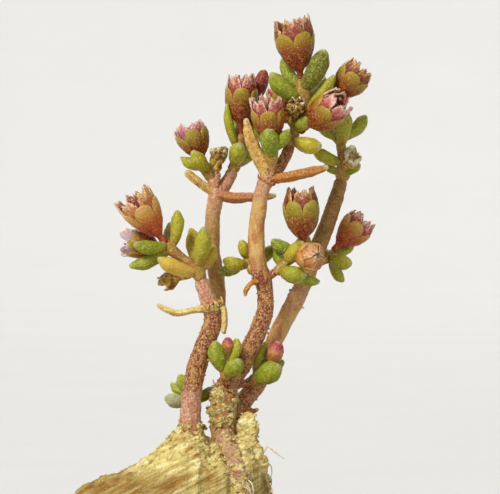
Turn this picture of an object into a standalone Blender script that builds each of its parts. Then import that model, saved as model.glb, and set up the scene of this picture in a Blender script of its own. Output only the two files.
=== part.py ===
"""A dwarf crassula in flower, standing in a lump of pale sandy ground in a plain clay pot.

The pot's foot is centred on the origin and stands on z = 0, with +Z up. The side that the
plant shows best faces -Y. Sizes are in millimetres and are turned into metres as each point
is placed. Plant heights count from the collar, the level at which the stems leave the ground.
"""

import math
from collections import namedtuple

import bmesh
import bpy
from mathutils import Vector, noise

MM = 0.001

# Pot
POT_HEIGHT = 60.0
POT_RIM_RADIUS = 35.0
POT_BAND_HEIGHT = 15.0
POT_BAND_STEP = 3.0
POT_BAND_TAPER = 0.7
POT_FOOT_RADIUS = 24.0
POT_WALL = 3.2
POT_FLOOR = 4.0
POT_EDGE = 0.9
DRAIN_RADIUS = 5.0
POT_SIDES = 40

# Ground
SOIL_BELOW_RIM = 4.0
SOIL_WALL_GAP = 0.4
SOIL_EDGE = 0.8
SOIL_FOOT_EDGE = 1.4
SOIL_RISE = 0.9
SOIL_SCALE = 0.22
SOIL_SEAT = [1.02, 0.75, 0.4, 0.0]
COLLAR_ABOVE_RIM = 13.0
COLLAR = POT_HEIGHT + COLLAR_ABOVE_RIM
SOIL_TOP = POT_HEIGHT - SOIL_BELOW_RIM
CLOD_CENTRE = (-9.0, 1.5)
CLOD_RADII = (17.5, 14.5)
CLOD_RAGGED = ((3, 0.05), (7, 0.035))
CLOD_SEAT_DEPTH = 3.0
CLOD_SEAT_SLOPE = 0.25
CLOD_EDGE = 1.4
CLOD_EDGE_RISE = 3.0
CLOD_BACK_FALL = 0.045
CLOD_FRONT_FALL = 0.034
CLOD_UNDER = [0.0, 0.4, 0.75, 0.98]
CLOD_TOP = [0.97, 0.9, 0.8, 0.68, 0.54, 0.38, 0.2, 0.0]
LUMP_HEIGHT = 0.9
LUMP_SCALE = 0.17
CRUMB_HEIGHT = 0.6
CRUMB_SCALE = 0.55
GROUND_SIDES = 32

# Gap between touching pieces, the wider one round a flower's foot and over a calyx's edge
GAP = 0.3
SEAT_GAP = 0.4
RIM_GAP = 0.95

# Leaves
LEAF_SIDES = 8
LEAF_ROWS = 5
LEAF_THICKNESS = 0.45
LEAF_FLATNESS_ABOVE = 0.8
LEAF_BLUNTNESS = 0.7
LEAF_FOOT_WIDTH = 0.8
LEAF_TIP_WIDTH = 1.25
LEAF_BOW = 0.2
LEAF_SET_IN = 0.1

# Flowers, whose outside is given as (share of the width, share of the cup's height)
LOBES = 5
LOBE_BLUNTNESS = 0.6
BLOOM_SIDES = LOBES * 4
DRIED_SIDES = LOBES * 2
BUD_SIDES = 10
CLEARANCE_SIDES = 12
STALK_RADIUS = 0.5
STALK_COLLAR = (0.55, 0.04)
CUP_BELLY = (0.32, 0.22)
CUP_MIDDLE = (0.46, 0.46)
CUP_LOBE_TIP = (0.49, 0.72)
CUP_MOUTH = (0.50, 1.0)
BUD_PROFILE = [(0.42, 0.34), (0.50, 0.60), (0.30, 0.88)]
SHELL = 0.7
CUP_DIP = 0.15
PETAL_LEDGE = 0.1
PETAL_TIPS = [0.12, 1.0, 0.8, 0.92]

# Tubes: the usual distance between rings, and the rounder one of a stem's hole
TUBE_STEP = 2.0
STEM_STEP = 2.2
HOLE_RESOLUTION = 3
HOLE_GAP = 0.35

SHARP_ANGLE = math.radians(40)

COLOURS = {
    "terracotta": ((0.52, 0.23, 0.13), 0.85),
    "soil": ((0.30, 0.24, 0.15), 0.95),
    "clod": ((0.62, 0.52, 0.28), 0.95),
    "stem": ((0.42, 0.20, 0.12), 0.6),
    "leaf": ((0.35, 0.42, 0.07), 0.45),
    "calyx": ((0.55, 0.26, 0.10), 0.5),
    "petal": ((0.75, 0.42, 0.36), 0.55),
    "dried": ((0.55, 0.42, 0.20), 0.85),
}

# A stem is its route from hole to tip, then its twigs and withered leaves, each a list of
# (x, y, z, radius) knots.
Stem = namedtuple("Stem", "route twigs withered")
# A head is a shoot of (x, y, z, radius) knots, its leaves, each (share of the way up the
# shoot, tip, width), and the side branches that carry flowers.
Head = namedtuple("Head", "shoot leaves branches", defaults=[[]])
# A flower stands on its foot, opens at its mouth, and has a bare stalk of that length. Its
# fullness is 1 for an urn, and less for a cup that widens like a cone. Its first lobe faces
# the front, turned by that many degrees about its axis.
Flower = namedtuple("Flower", "kind head foot mouth width stalk fullness turned", defaults=[1.0, 0.0])

# The lump's top as the front view shows it, as (x, height) from left to right
CLOD_RIDGE = [
    (-27.0, -14.0), (-22.3, -8.6), (-16.8, -6.3), (-11.5, -3.6), (-8.0, -0.6), (-6.8, 0.7),
    (-4.0, 0.7), (-2.2, -1.0), (-1.0, -0.6), (1.0, -0.3), (4.2, -0.6), (5.6, -3.3), (6.4, -7.0),
    (8.0, -13.5),
]
# Thick old roots, crusted with sand, that run down the front of the lump
CLOD_ROOTS = [
    [(-0.5, -1.6, 0.1, 1.2), (-0.1, -3.0, -0.4, 1.4), (0.7, -5.0, -1.7, 1.5),
     (1.5, -7.6, -3.3, 1.4), (2.1, -9.3, -4.9, 1.4), (2.5, -10.3, -7.6, 1.3),
     (2.8, -10.4, -14.0, 1.1)],
    [(2.4, -1.2, -1.2, 1.0), (3.6, -2.6, -1.5, 1.4), (4.7, -3.9, -3.6, 1.5),
     (5.2, -4.8, -6.8, 1.3), (5.4, -5.4, -10.0, 1.2), (5.6, -5.6, -14.0, 1.0)],
    [(3.4, -0.5, -2.4, 1.6), (3.4, -0.5, 0.6, 1.6), (3.2, -0.4, 2.2, 1.3), (3.0, -0.3, 3.2, 0.8)],
]

STEMS = {
    "stem_left": Stem(
        route=[
            (-5.3, -1.0, -4.6, 1.50), (-5.3, -1.0, 0.5, 1.62), (-5.2, -1.0, 3.3, 1.55),
            (-4.9, -1.0, 6.6, 1.50), (-4.3, -0.9, 9.9, 1.48), (-3.2, -0.8, 13.2, 1.42),
            (-2.0, -0.6, 16.3, 1.38), (-1.9, -0.5, 18.2, 1.32), (-2.1, -0.5, 19.2, 1.60),
            (-2.4, -0.5, 20.0, 1.25), (-3.0, -0.5, 21.6, 1.18), (-3.7, -0.5, 23.5, 1.10),
        ],
        twigs=[
            [(-5.2, -0.6, 3.4, 0.7), (-5.3, 0.9, 3.9, 0.65), (-5.3, 1.5, 4.4, 0.6)],
        ],
        withered=[
            [(-2.6, -0.7, 19.0, 0.7), (-4.8, -1.2, 18.9, 0.62), (-6.4, -1.4, 18.5, 0.62),
             (-8.2, -1.5, 18.7, 0.62), (-10.2, -1.6, 19.6, 0.35)],
            [(-1.6, -0.8, 19.6, 0.6), (-0.3, -1.2, 19.0, 0.6), (0.0, -1.3, 17.3, 0.55),
             (-0.2, -1.3, 15.2, 0.35)],
        ],
    ),
    "stem_middle": Stem(
        route=[
            (0.9, 0.0, -4.6, 1.40), (0.2, 0.0, -1.5, 1.75), (-0.4, 0.0, 1.2, 1.85),
            (-0.4, 0.0, 4.9, 1.80), (0.2, 0.0, 7.0, 1.75), (1.2, 0.0, 8.6, 1.40),
            (2.5, 0.0, 10.2, 1.30), (3.7, 0.0, 13.0, 1.32), (5.1, 0.0, 15.8, 1.35),
            (6.0, -0.1, 18.8, 1.25), (6.0, -0.2, 21.5, 1.18), (5.6, -0.3, 23.5, 1.38),
            (5.1, -0.3, 25.4, 1.22), (4.7, -0.4, 28.0, 1.26), (4.8, -0.6, 32.0, 1.20),
            (5.5, -0.9, 36.4, 1.12), (6.3, -1.0, 38.4, 1.20), (6.9, -1.6, 40.0, 0.85),
            (7.0, -2.0, 41.0, 0.75),
        ],
        twigs=[
            [(6.5, -0.9, 38.3, 0.9), (8.2, -0.4, 40.3, 0.88), (9.3, -0.1, 42.2, 0.85),
             (9.8, 0.0, 43.6, 0.82)],
            [(5.8, -0.4, 23.4, 0.7), (7.0, -0.8, 24.1, 0.6), (7.9, -1.0, 24.7, 0.58)],
            [(5.4, 0.2, 23.5, 0.7), (4.5, 1.4, 24.1, 0.6), (4.0, 2.1, 24.7, 0.55)],
            [(0.6, -0.6, 7.6, 0.8), (0.2, -1.9, 8.1, 0.7), (0.1, -2.6, 8.9, 0.65)],
            [(1.4, 0.4, 7.9, 0.8), (3.0, 1.1, 7.6, 0.7), (4.0, 1.3, 8.0, 0.7)],
        ],
        withered=[
            [(6.6, -1.0, 38.6, 0.95), (5.7, -1.6, 40.5, 0.95), (4.6, -2.0, 42.6, 0.85),
             (3.7, -2.3, 45.0, 0.70), (3.1, -2.4, 47.5, 0.30)],
            [(6.4, -1.0, 38.4, 0.8), (8.6, -1.5, 38.7, 0.95), (11.2, -1.8, 39.3, 1.02),
             (13.6, -2.0, 39.8, 0.85), (15.5, -2.2, 40.2, 0.30)],
            [(5.3, -0.8, 23.3, 0.5), (4.0, -1.6, 22.9, 0.45), (3.2, -1.7, 22.0, 0.42),
             (3.0, -1.7, 20.9, 0.30)],
        ],
    ),
    "stem_right": Stem(
        route=[
            (0.6, 3.9, -4.6, 1.25), (0.6, 3.9, 0.2, 1.30), (1.4, 3.8, 2.9, 1.35),
            (3.2, 3.9, 5.3, 1.35), (4.9, 4.1, 7.3, 1.30), (5.9, 4.4, 9.8, 1.28),
            (6.8, 4.8, 12.2, 1.28), (8.0, 5.3, 15.0, 1.32),
            (9.6, 5.9, 18.0, 1.35), (11.6, 6.5, 21.9, 1.30), (13.3, 7.0, 26.0, 1.32),
            (15.2, 7.4, 30.7, 1.22), (16.8, 7.8, 35.2, 1.12), (17.7, 8.0, 38.3, 1.02),
        ],
        twigs=[
            [(13.2, 7.0, 25.4, 0.8), (14.3, 7.4, 25.6, 0.7), (15.0, 7.8, 26.0, 0.65)],
        ],
        withered=[
            [(2.4, 3.7, 4.2, 0.7), (4.0, 2.9, 3.4, 0.5), (5.0, 2.4, 3.6, 0.35)],
        ],
    ),
    "stem_back": Stem(
        route=[
            (-4.9, 6.3, -4.6, 1.10), (-4.9, 6.3, 0.0, 1.22), (-4.8, 6.3, 5.6, 1.20),
            (-4.2, 6.3, 9.9, 1.18), (-2.9, 6.3, 13.6, 1.18), (-1.5, 6.3, 17.0, 1.18),
            (-1.1, 6.3, 20.2, 1.20), (-1.4, 6.4, 23.8, 1.20),
            (-2.0, 6.6, 27.7, 1.18), (-1.9, 6.9, 32.5, 1.12), (-1.4, 7.0, 36.0, 1.20),
            (-1.7, 7.1, 37.4, 0.90), (-2.2, 7.2, 38.4, 0.80),
        ],
        twigs=[
            [(-1.4, 7.0, 35.9, 1.0), (-0.2, 7.0, 37.2, 1.0), (0.7, 7.0, 38.6, 0.95),
             (1.2, 6.9, 39.7, 0.9)],
            [(-1.5, 6.9, 36.4, 0.55), (-1.2, 6.0, 37.9, 0.45), (-1.1, 5.5, 39.3, 0.42)],
        ],
        withered=[
            [(-1.4, 7.0, 36.0, 0.85), (-3.0, 6.8, 37.2, 0.82), (-4.6, 6.6, 38.4, 0.85),
             (-6.1, 6.5, 39.4, 0.60)],
            [(-1.4, 7.0, 36.0, 0.95), (1.0, 6.6, 35.6, 1.05), (3.4, 6.1, 35.7, 0.95),
             (5.6, 5.6, 35.7, 0.80), (7.7, 5.2, 35.8, 0.35)],
        ],
    ),
}

HEADS = {
    "leaves_left_head": Head(
        shoot=[(-3.8, -0.5, 23.9, 1.0), (-4.4, -0.6, 25.0, 0.95), (-6.2, -0.9, 26.5, 0.72),
               (-7.9, -1.1, 27.7, 0.80), (-8.9, -1.1, 28.7, 0.62)],
        leaves=[
            (0.10, (-10.0, -3.2, 26.6), 2.6), (0.10, (-1.7, 1.6, 28.4), 2.2),
            (0.24, (-3.2, -2.4, 31.2), 2.9), (0.24, (-5.2, 2.6, 31.0), 2.4),
            (0.80, (-7.1, -1.6, 33.9), 2.3), (0.80, (-14.3, -1.4, 25.3), 2.4),
            (0.92, (-13.6, -3.9, 28.7), 2.4), (0.92, (-8.4, 3.6, 31.6), 2.2),
        ],
    ),
    "leaves_centre": Head(
        shoot=[(7.0, -2.1, 41.3, 0.75), (7.0, -2.3, 42.4, 0.8), (6.9, -2.3, 43.4, 0.6)],
        leaves=[
            (0.08, (6.6, -4.7, 46.2), 2.7), (0.15, (7.5, 0.4, 46.4), 1.8),
            (0.60, (5.2, -0.2, 46.6), 1.9), (0.60, (9.6, -3.9, 46.0), 1.9),
        ],
    ),
    "leaves_crown": Head(
        shoot=[(9.9, 0.0, 43.95, 0.82), (10.4, 0.0, 45.2, 0.85), (11.1, 0.0, 47.2, 0.75),
               (11.6, 0.0, 49.6, 0.95), (11.5, 0.1, 51.6, 0.9), (11.4, 0.2, 53.4, 0.6)],
        leaves=[
            (0.06, (14.4, -2.3, 43.4), 2.9), (0.06, (7.0, 3.6, 45.6), 2.4),
            (0.25, (12.4, -3.0, 47.7), 2.1), (0.25, (10.8, 3.8, 48.6), 2.2),
            (0.62, (6.8, -1.8, 54.3), 2.9), (0.62, (14.9, 4.6, 53.7), 2.3),
            (0.80, (14.9, -1.5, 57.8), 3.3), (0.80, (8.6, 2.9, 56.6), 2.2),
            (0.45, (16.4, -0.9, 54.0), 2.1),
        ],
        branches=[
            [(11.1, 0.0, 47.4, 0.7), (12.9, 0.8, 47.8, 0.65), (14.7, 1.3, 48.3, 0.65)],
        ],
    ),
    "leaves_side_right": Head(
        shoot=[(8.15, -1.1, 24.85, 0.65), (9.3, -0.8, 26.0, 0.8), (10.6, -0.3, 27.2, 0.8),
               (11.6, 0.1, 28.3, 0.6)],
        leaves=[
            (0.02, (12.1, -3.2, 24.0), 3.0), (0.15, (8.0, 2.6, 28.0), 2.0),
            (0.10, (14.2, -1.4, 23.0), 2.1), (0.20, (11.8, -1.7, 29.0), 2.1),
            (0.75, (12.6, 3.9, 29.6), 2.3), (0.75, (6.9, -0.4, 29.3), 2.3),
        ],
    ),
    "leaves_side_left": Head(
        shoot=[(3.8, 2.4, 24.9, 0.6), (3.5, 2.9, 25.8, 0.75), (3.4, 3.2, 26.8, 0.5)],
        leaves=[
            (0.20, (-0.3, 1.6, 26.2), 2.3), (0.20, (7.3, 3.6, 28.2), 2.2),
            (0.70, (2.4, 2.0, 29.2), 1.7), (0.60, (-1.0, 4.2, 24.2), 2.0),
        ],
    ),
    "leaves_bud_left": Head(
        shoot=[(0.1, -2.8, 9.2, 0.7), (0.2, -3.0, 10.3, 0.8), (0.3, -3.0, 11.6, 0.5)],
        leaves=[
            (0.05, (-1.5, -3.5, 14.3), 3.0), (0.20, (1.9, -2.7, 14.6), 2.0),
            (0.02, (2.1, -4.9, 11.6), 2.9), (0.50, (0.2, -1.4, 13.6), 1.6),
        ],
    ),
    "leaves_bud_right": Head(
        shoot=[(4.35, 1.3, 8.1, 0.75), (5.4, 1.2, 8.7, 0.9), (6.5, 1.0, 9.6, 0.6)],
        leaves=[
            (0.05, (8.4, -1.0, 10.3), 3.1), (0.15, (6.2, 2.2, 13.9), 2.2),
            (0.60, (8.9, 2.6, 10.9), 1.8),
        ],
    ),
    "leaves_basal": Head(
        shoot=[(-5.3, 1.75, 4.6, 0.65), (-5.3, 2.2, 5.4, 0.8), (-5.4, 2.5, 6.4, 0.5)],
        leaves=[
            (0.20, (-9.1, 1.8, 5.4), 2.4), (0.20, (-1.5, 2.2, 6.9), 1.9),
            (0.80, (-6.9, 2.5, 9.0), 2.0), (0.70, (-8.2, 4.4, 7.4), 1.8),
        ],
    ),
    "leaves_back_left": Head(
        shoot=[(-2.35, 7.3, 38.75, 0.8), (-2.8, 7.6, 39.8, 0.85), (-3.2, 7.9, 40.8, 0.55)],
        leaves=[
            (0.15, (-4.9, 5.0, 42.6), 2.2), (0.15, (-1.2, 10.4, 42.4), 2.2),
            (0.55, (-6.9, 8.8, 41.6), 1.9), (0.55, (0.4, 8.2, 43.0), 1.9),
        ],
    ),
    "leaves_back_right": Head(
        shoot=[(1.3, 6.9, 40.05, 0.85), (1.8, 6.8, 41.4, 0.9), (2.3, 6.6, 43.2, 0.75),
               (2.4, 6.6, 45.2, 0.55)],
        leaves=[
            (0.10, (2.3, 3.6, 43.6), 2.6), (0.10, (4.2, 10.2, 43.0), 2.3),
            (0.50, (0.3, 5.2, 49.6), 1.6), (0.50, (5.6, 8.0, 47.6), 2.0),
            (0.75, (1.6, 10.0, 48.4), 2.0),
        ],
    ),
    "leaves_right_top": Head(
        shoot=[(17.8, 8.0, 38.65, 1.0), (18.0, 8.0, 40.6, 0.85), (17.7, 8.0, 42.6, 0.8),
               (17.4, 7.9, 44.4, 0.6)],
        leaves=[
            (0.05, (20.4, 6.6, 40.6), 1.6), (0.05, (15.2, 9.6, 40.8), 1.6),
            (0.35, (13.4, 5.9, 42.8), 2.2), (0.35, (19.4, 12.6, 43.2), 2.2),
            (0.80, (18.1, 5.0, 48.6), 2.4), (0.80, (16.6, 11.4, 47.6), 2.3),
            (0.95, (21.5, 8.6, 47.9), 2.4), (0.95, (13.8, 8.4, 47.6), 2.2),
        ],
    ),
    "leaves_right_side": Head(
        shoot=[(15.3, 7.95, 26.1, 0.65), (15.9, 8.3, 26.7, 0.7), (16.4, 8.6, 27.3, 0.5)],
        leaves=[
            (0.20, (19.2, 6.2, 25.6), 2.4), (0.20, (15.0, 12.2, 27.2), 2.3),
            (0.50, (18.0, 9.0, 22.6), 1.9), (0.55, (19.6, 11.4, 28.4), 1.9),
        ],
    ),
}

FLOWERS = {
    "top": Flower(
        "open", "leaves_crown", (11.35, 0.2, 53.75), (9.9, -0.2, 62.5), 6.2, 0.2, 0.85, 30),
    "crown_right": Flower(
        "open", "leaves_crown", (14.9, 1.4, 48.5), (20.7, 1.8, 55.3), 5.2, 2.4, 0.85),
    "crown_front": Flower("open", "leaves_crown", (11.4, -1.0, 45.6), (17.8, -4.6, 50.4), 5.4, 1.0),
    "crown_back": Flower("open", "leaves_crown", (10.3, 1.0, 46.1), (7.6, 6.6, 51.4), 4.2, 1.2),
    "centre": Flower("open", "leaves_centre", (6.9, -2.3, 43.75), (6.1, -3.5, 50.7), 5.0, 0.1),
    "side_right": Flower(
        "open", "leaves_side_right", (11.8, 0.2, 28.6), (11.2, 0.6, 37.2), 5.5, 0.3, 1.0, 40),
    "side_front": Flower("open", "leaves_side_right", (10.9, -1.4, 26.4), (13.9, -6.6, 27.3), 4.3, 0.6),
    "left": Flower(
        "open", "leaves_left_head", (-9.15, -1.1, 29.0), (-14.1, -2.2, 36.3), 6.0, 0.6, 0.72),
    "left_low": Flower("open", "leaves_left_head", (-9.2, -0.3, 28.1), (-15.6, 1.5, 29.0), 4.4, 0.4),
    "right_side": Flower(
        "open", "leaves_right_side", (16.6, 8.75, 27.6), (21.5, 9.9, 32.3), 5.2, 0.3, 0.8),
    "back_left": Flower(
        "open", "leaves_back_left", (-3.35, 8.05, 41.1), (-5.9, 8.9, 46.7), 5.3, 0.2, 0.85),
    "back_right": Flower("open", "leaves_back_right", (2.4, 6.6, 45.5), (2.5, 6.4, 54.2), 5.0, 0.5),
    "back_small": Flower("bud", "leaves_back_right", (2.9, 7.6, 43.6), (6.0, 9.8, 55.0), 2.3, 6.6),
    "low_left": Flower("bud", "leaves_bud_left", (0.3, -3.0, 11.9), (0.5, -3.1, 14.9), 1.9, 0.1),
    "low_right": Flower("bud", "leaves_bud_right", (6.75, 1.0, 9.8), (8.1, 0.8, 14.0), 2.6, 0.2),
    "left_back": Flower("dried", "leaves_left_head", (-4.6, 0.6, 24.3), (-10.2, 3.6, 22.4), 2.9, 2.8),
    "right_top": Flower("dried", "leaves_right_top", (18.6, 7.1, 40.2), (19.6, 4.4, 42.2), 2.8, 0.6),
    "crown_dry": Flower("dried", "leaves_crown", (10.5, -0.8, 47.5), (10.6, -3.8, 50.5), 3.1, 0.5),
    "back_mid": Flower("dried", "stem_back", (-1.1, 5.35, 39.65), (-1.0, 4.9, 43.4), 2.7, 0.8),
}


def place(x, y, z):
    """A point of the plant, counted from the collar, in metres from the pot's foot."""
    return Vector((x, y, z + COLLAR)) * MM


def new_object(name, bm, collection):
    """The bmesh as an object of that name, in that collection."""
    mesh = bpy.data.meshes.new(name)
    bm.to_mesh(mesh)
    bm.free()
    made = bpy.data.objects.new(name, mesh)
    collection.objects.link(made)
    return made


def wrapped_sphere(name, sides, rows, position, collection):
    """A sphere whose rows, counted from the south pole, are each moved to position(row, turn)."""
    bm = bmesh.new()
    bmesh.ops.create_uvsphere(bm, u_segments=sides, v_segments=rows, radius=1.0)
    for vertex in bm.verts:
        polar = math.acos(max(-1.0, min(1.0, -vertex.co.z)))
        turn = math.atan2(vertex.co.y, vertex.co.x)
        vertex.co = position(round(polar / math.pi * rows), turn)
    return new_object(name, bm, collection)


def smooth_route(knots, step):
    """Points about a step apart on a smooth curve through the knots, each with its radius."""
    given = [Vector(knot) for knot in knots]
    ends = [2 * given[0] - given[1]] + given + [2 * given[-1] - given[-2]]
    route = []
    for before, start, end, after in zip(ends, ends[1:], ends[2:], ends[3:]):
        count = max(1, round((end.xyz - start.xyz).length / step))
        for share in (index / count for index in range(count)):
            route.append(0.5 * (
                2 * start + (end - before) * share
                + (2 * before - 5 * start + 4 * end - after) * share**2
                + (3 * start - before - 3 * end + after) * share**3
            ))
    return route + [given[-1]]


def tube(name, knots, collection, step=TUBE_STEP, resolution=2, swell=0.0):
    """A closed tube along the knots, as a mesh. It is first a bevelled curve with filled caps."""
    route = smooth_route(knots, step)
    curve = bpy.data.curves.new(name, "CURVE")
    curve.dimensions = "3D"
    curve.bevel_depth = MM
    curve.bevel_resolution = resolution
    curve.use_fill_caps = True
    spline = curve.splines.new("POLY")
    spline.points.add(len(route) - 1)
    for point, knot in zip(spline.points, route):
        point.co = (*place(*knot.xyz), 1.0)
        point.radius = knot.w + swell
    wire = bpy.data.objects.new(name, curve)
    collection.objects.link(wire)
    graph = bpy.context.evaluated_depsgraph_get()
    bm = bmesh.new()
    bm.from_mesh(bpy.data.meshes.new_from_object(wire.evaluated_get(graph)))
    bmesh.ops.remove_doubles(bm, verts=bm.verts, dist=0.01 * MM)
    bpy.data.objects.remove(wire)
    return new_object(name, bm, collection)


def boolean(target, operation, others, workshop):
    """Applies one Boolean of the others to the target, then removes the others."""
    group = bpy.data.collections.new("group")
    workshop.children.link(group)
    for other in others:
        workshop.objects.unlink(other)
        group.objects.link(other)
    modifier = target.modifiers.new("join", "BOOLEAN")
    modifier.operation = operation
    modifier.operand_type = "COLLECTION"
    modifier.collection = group
    graph = bpy.context.evaluated_depsgraph_get()
    target.data = bpy.data.meshes.new_from_object(target.evaluated_get(graph))
    target.modifiers.clear()
    for other in others:
        bpy.data.objects.remove(other)
    bpy.data.collections.remove(group)


def finished(piece, name, colour, model):
    """Names the piece, gives it its own material and moves it into the model."""
    base, roughness = COLOURS[colour]
    material = bpy.data.materials.new(name)
    material.use_nodes = True
    shader = material.node_tree.nodes["Principled BSDF"]
    shader.inputs["Base Color"].default_value = (*base, 1.0)
    shader.inputs["Roughness"].default_value = roughness
    piece.data.materials.clear()
    piece.data.materials.append(material)
    piece.data.shade_smooth()
    piece.data.set_sharp_from_angle(angle=SHARP_ANGLE)
    for holder in list(piece.users_collection):
        holder.objects.unlink(piece)
    model.objects.link(piece)
    piece.name = name


def make_pot(model, workshop):
    """A turned pot with a rim band, a floor and a round drain hole."""
    inner_top = POT_RIM_RADIUS - POT_WALL
    band_foot = POT_HEIGHT - POT_BAND_HEIGHT
    band_radius = POT_RIM_RADIUS - POT_BAND_TAPER
    profile = [
        (DRAIN_RADIUS, POT_FLOOR), (pot_inner_radius(POT_FLOOR) - POT_EDGE, POT_FLOOR),
        (pot_inner_radius(POT_FLOOR + POT_EDGE), POT_FLOOR + POT_EDGE),
        (inner_top, POT_HEIGHT - POT_EDGE), (inner_top + POT_EDGE, POT_HEIGHT),
        (POT_RIM_RADIUS - POT_EDGE, POT_HEIGHT), (POT_RIM_RADIUS, POT_HEIGHT - POT_EDGE),
        (band_radius, band_foot + POT_EDGE), (band_radius - POT_EDGE, band_foot),
        (band_radius - POT_BAND_STEP, band_foot), (POT_FOOT_RADIUS, POT_EDGE),
        (POT_FOOT_RADIUS - POT_EDGE, 0.0), (DRAIN_RADIUS, 0.0),
    ]
    bm = bmesh.new()
    corners = [bm.verts.new((radius * MM, 0.0, z * MM)) for radius, z in profile]
    for start, end in zip(corners, corners[1:] + corners[:1]):
        bm.edges.new((start, end))
    pot = new_object("pot", bm, workshop)
    turn = pot.modifiers.new("turn", "SCREW")
    turn.steps = turn.render_steps = POT_SIDES
    turn.use_merge_vertices = True
    turn.merge_threshold = 0.01 * MM
    finished(pot, "pot", "terracotta", model)


def pot_inner_radius(z):
    """The inside of the pot's wall, straight from the floor to the rim."""
    share = (z - POT_FLOOR) / (POT_HEIGHT - POT_FLOOR)
    foot = POT_FOOT_RADIUS - POT_WALL
    return foot + (POT_RIM_RADIUS - POT_WALL - foot) * share


def clod_outline(turn, share):
    """A point of the lump's plan, at that share of the way out to its edge."""
    ragged = 1 + sum(swing * math.sin(waves * (turn + 1)) for waves, swing in CLOD_RAGGED)
    return (CLOD_CENTRE[0] + CLOD_RADII[0] * share * ragged * math.cos(turn),
            CLOD_CENTRE[1] + CLOD_RADII[1] * share * ragged * math.sin(turn))


def seat_level(share):
    """How deep the lump's seat is pressed into the soil at that share of the way out."""
    return SOIL_TOP - CLOD_SEAT_DEPTH * min(1.0, (1.0 - share) / CLOD_SEAT_SLOPE)


def make_soil(model, workshop):
    """Potting soil up to just below the rim, with a shallow seat for the lump."""
    bottom = POT_FLOOR + GAP
    wall_top = pot_inner_radius(SOIL_TOP) - SOIL_WALL_GAP
    wall_foot = pot_inner_radius(bottom + SOIL_FOOT_EDGE) - SOIL_WALL_GAP
    round_rings = [
        (0.0, bottom), (wall_foot - SOIL_FOOT_EDGE, bottom), (wall_foot, bottom + SOIL_FOOT_EDGE),
        (wall_top, SOIL_TOP - SOIL_EDGE), (wall_top - SOIL_EDGE, SOIL_TOP),
    ]

    def position(row, turn):
        if row < len(round_rings):
            radius, z = round_rings[row]
            return Vector((radius * math.cos(turn), radius * math.sin(turn), z)) * MM
        if row == len(round_rings):
            edge = Vector(clod_outline(turn, SOIL_SEAT[0]))
            wall = Vector((math.cos(turn), math.sin(turn))) * wall_top
            middle = (edge + wall) / 2
            rise = SOIL_RISE * noise.noise(Vector((*middle, 0.0)) * SOIL_SCALE)
            return Vector((*middle, SOIL_TOP + rise)) * MM
        share = SOIL_SEAT[row - len(round_rings) - 1]
        return Vector((*clod_outline(turn, share), seat_level(min(share, 1.0)))) * MM

    rows = len(round_rings) + len(SOIL_SEAT)
    soil = wrapped_sphere("potting_soil", GROUND_SIDES, rows, position, workshop)
    finished(soil, "potting_soil", "soil", model)


def ridge_height(x):
    """The height of the lump's ridge line at x."""
    for (left, low), (right, high) in zip(CLOD_RIDGE, CLOD_RIDGE[1:]):
        if x <= right:
            return low + (high - low) * max(0.0, x - left) / (right - left)
    return CLOD_RIDGE[-1][1]


def clod_height(x, y):
    """The lump's top surface at a point of its plan, counted from the collar."""
    back = y - CLOD_CENTRE[1]
    fall = (CLOD_BACK_FALL if back > 0 else CLOD_FRONT_FALL) * back**2
    lumps = LUMP_HEIGHT * noise.noise(Vector((x * LUMP_SCALE, y * LUMP_SCALE, 3.0)))
    crumbs = CRUMB_HEIGHT * noise.noise(Vector((x * CRUMB_SCALE, y * CRUMB_SCALE, 8.0)))
    return ridge_height(x) - fall + lumps + crumbs


def make_clod(model, workshop):
    """The lump of pale sandy ground, seated in the soil, with a plain hole for each stem."""
    def position(row, turn):
        if row < len(CLOD_UNDER):
            share = CLOD_UNDER[row]
            return Vector((*clod_outline(turn, share), seat_level(share) + SEAT_GAP)) * MM
        share = CLOD_TOP[row - len(CLOD_UNDER)]
        x, y = clod_outline(turn, share)
        lowest = SOIL_TOP + CLOD_EDGE + CLOD_EDGE_RISE * (CLOD_TOP[0] - share)
        return Vector((x, y, max(lowest, COLLAR + clod_height(x, y)))) * MM

    rows = len(CLOD_UNDER) + len(CLOD_TOP) - 1
    clod = wrapped_sphere("ground_clod", GROUND_SIDES, rows, position, workshop)
    roots = [tube("root", knots, workshop, resolution=1) for knots in CLOD_ROOTS]
    boolean(clod, "UNION", roots, workshop)
    holes = [stem_hole(stem.route, workshop) for stem in STEMS.values()]
    boolean(clod, "DIFFERENCE", holes, workshop)
    finished(clod, "ground_clod", "clod", model)


def stem_hole(route, workshop):
    """The cutter of a stem's hole: the stem's lower part, a little thicker and deeper."""
    foot, above = Vector(route[0]), Vector(route[1])
    below = foot + (foot - above).normalized() * GAP
    return tube("hole", [tuple(below)] + route[1:4], workshop, resolution=HOLE_RESOLUTION,
                swell=HOLE_GAP)


def make_stem(name, stem, model, workshop):
    """A stem with its twigs and withered leaves grown into it."""
    trunk = tube(name, stem.route, workshop, step=STEM_STEP)
    side = [tube("twig", knots, workshop, resolution=1) for knots in stem.twigs]
    side += [tube("withered", knots, workshop, resolution=1) for knots in stem.withered]
    boolean(trunk, "UNION", side, workshop)
    finished(trunk, name, "stem", model)


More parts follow.
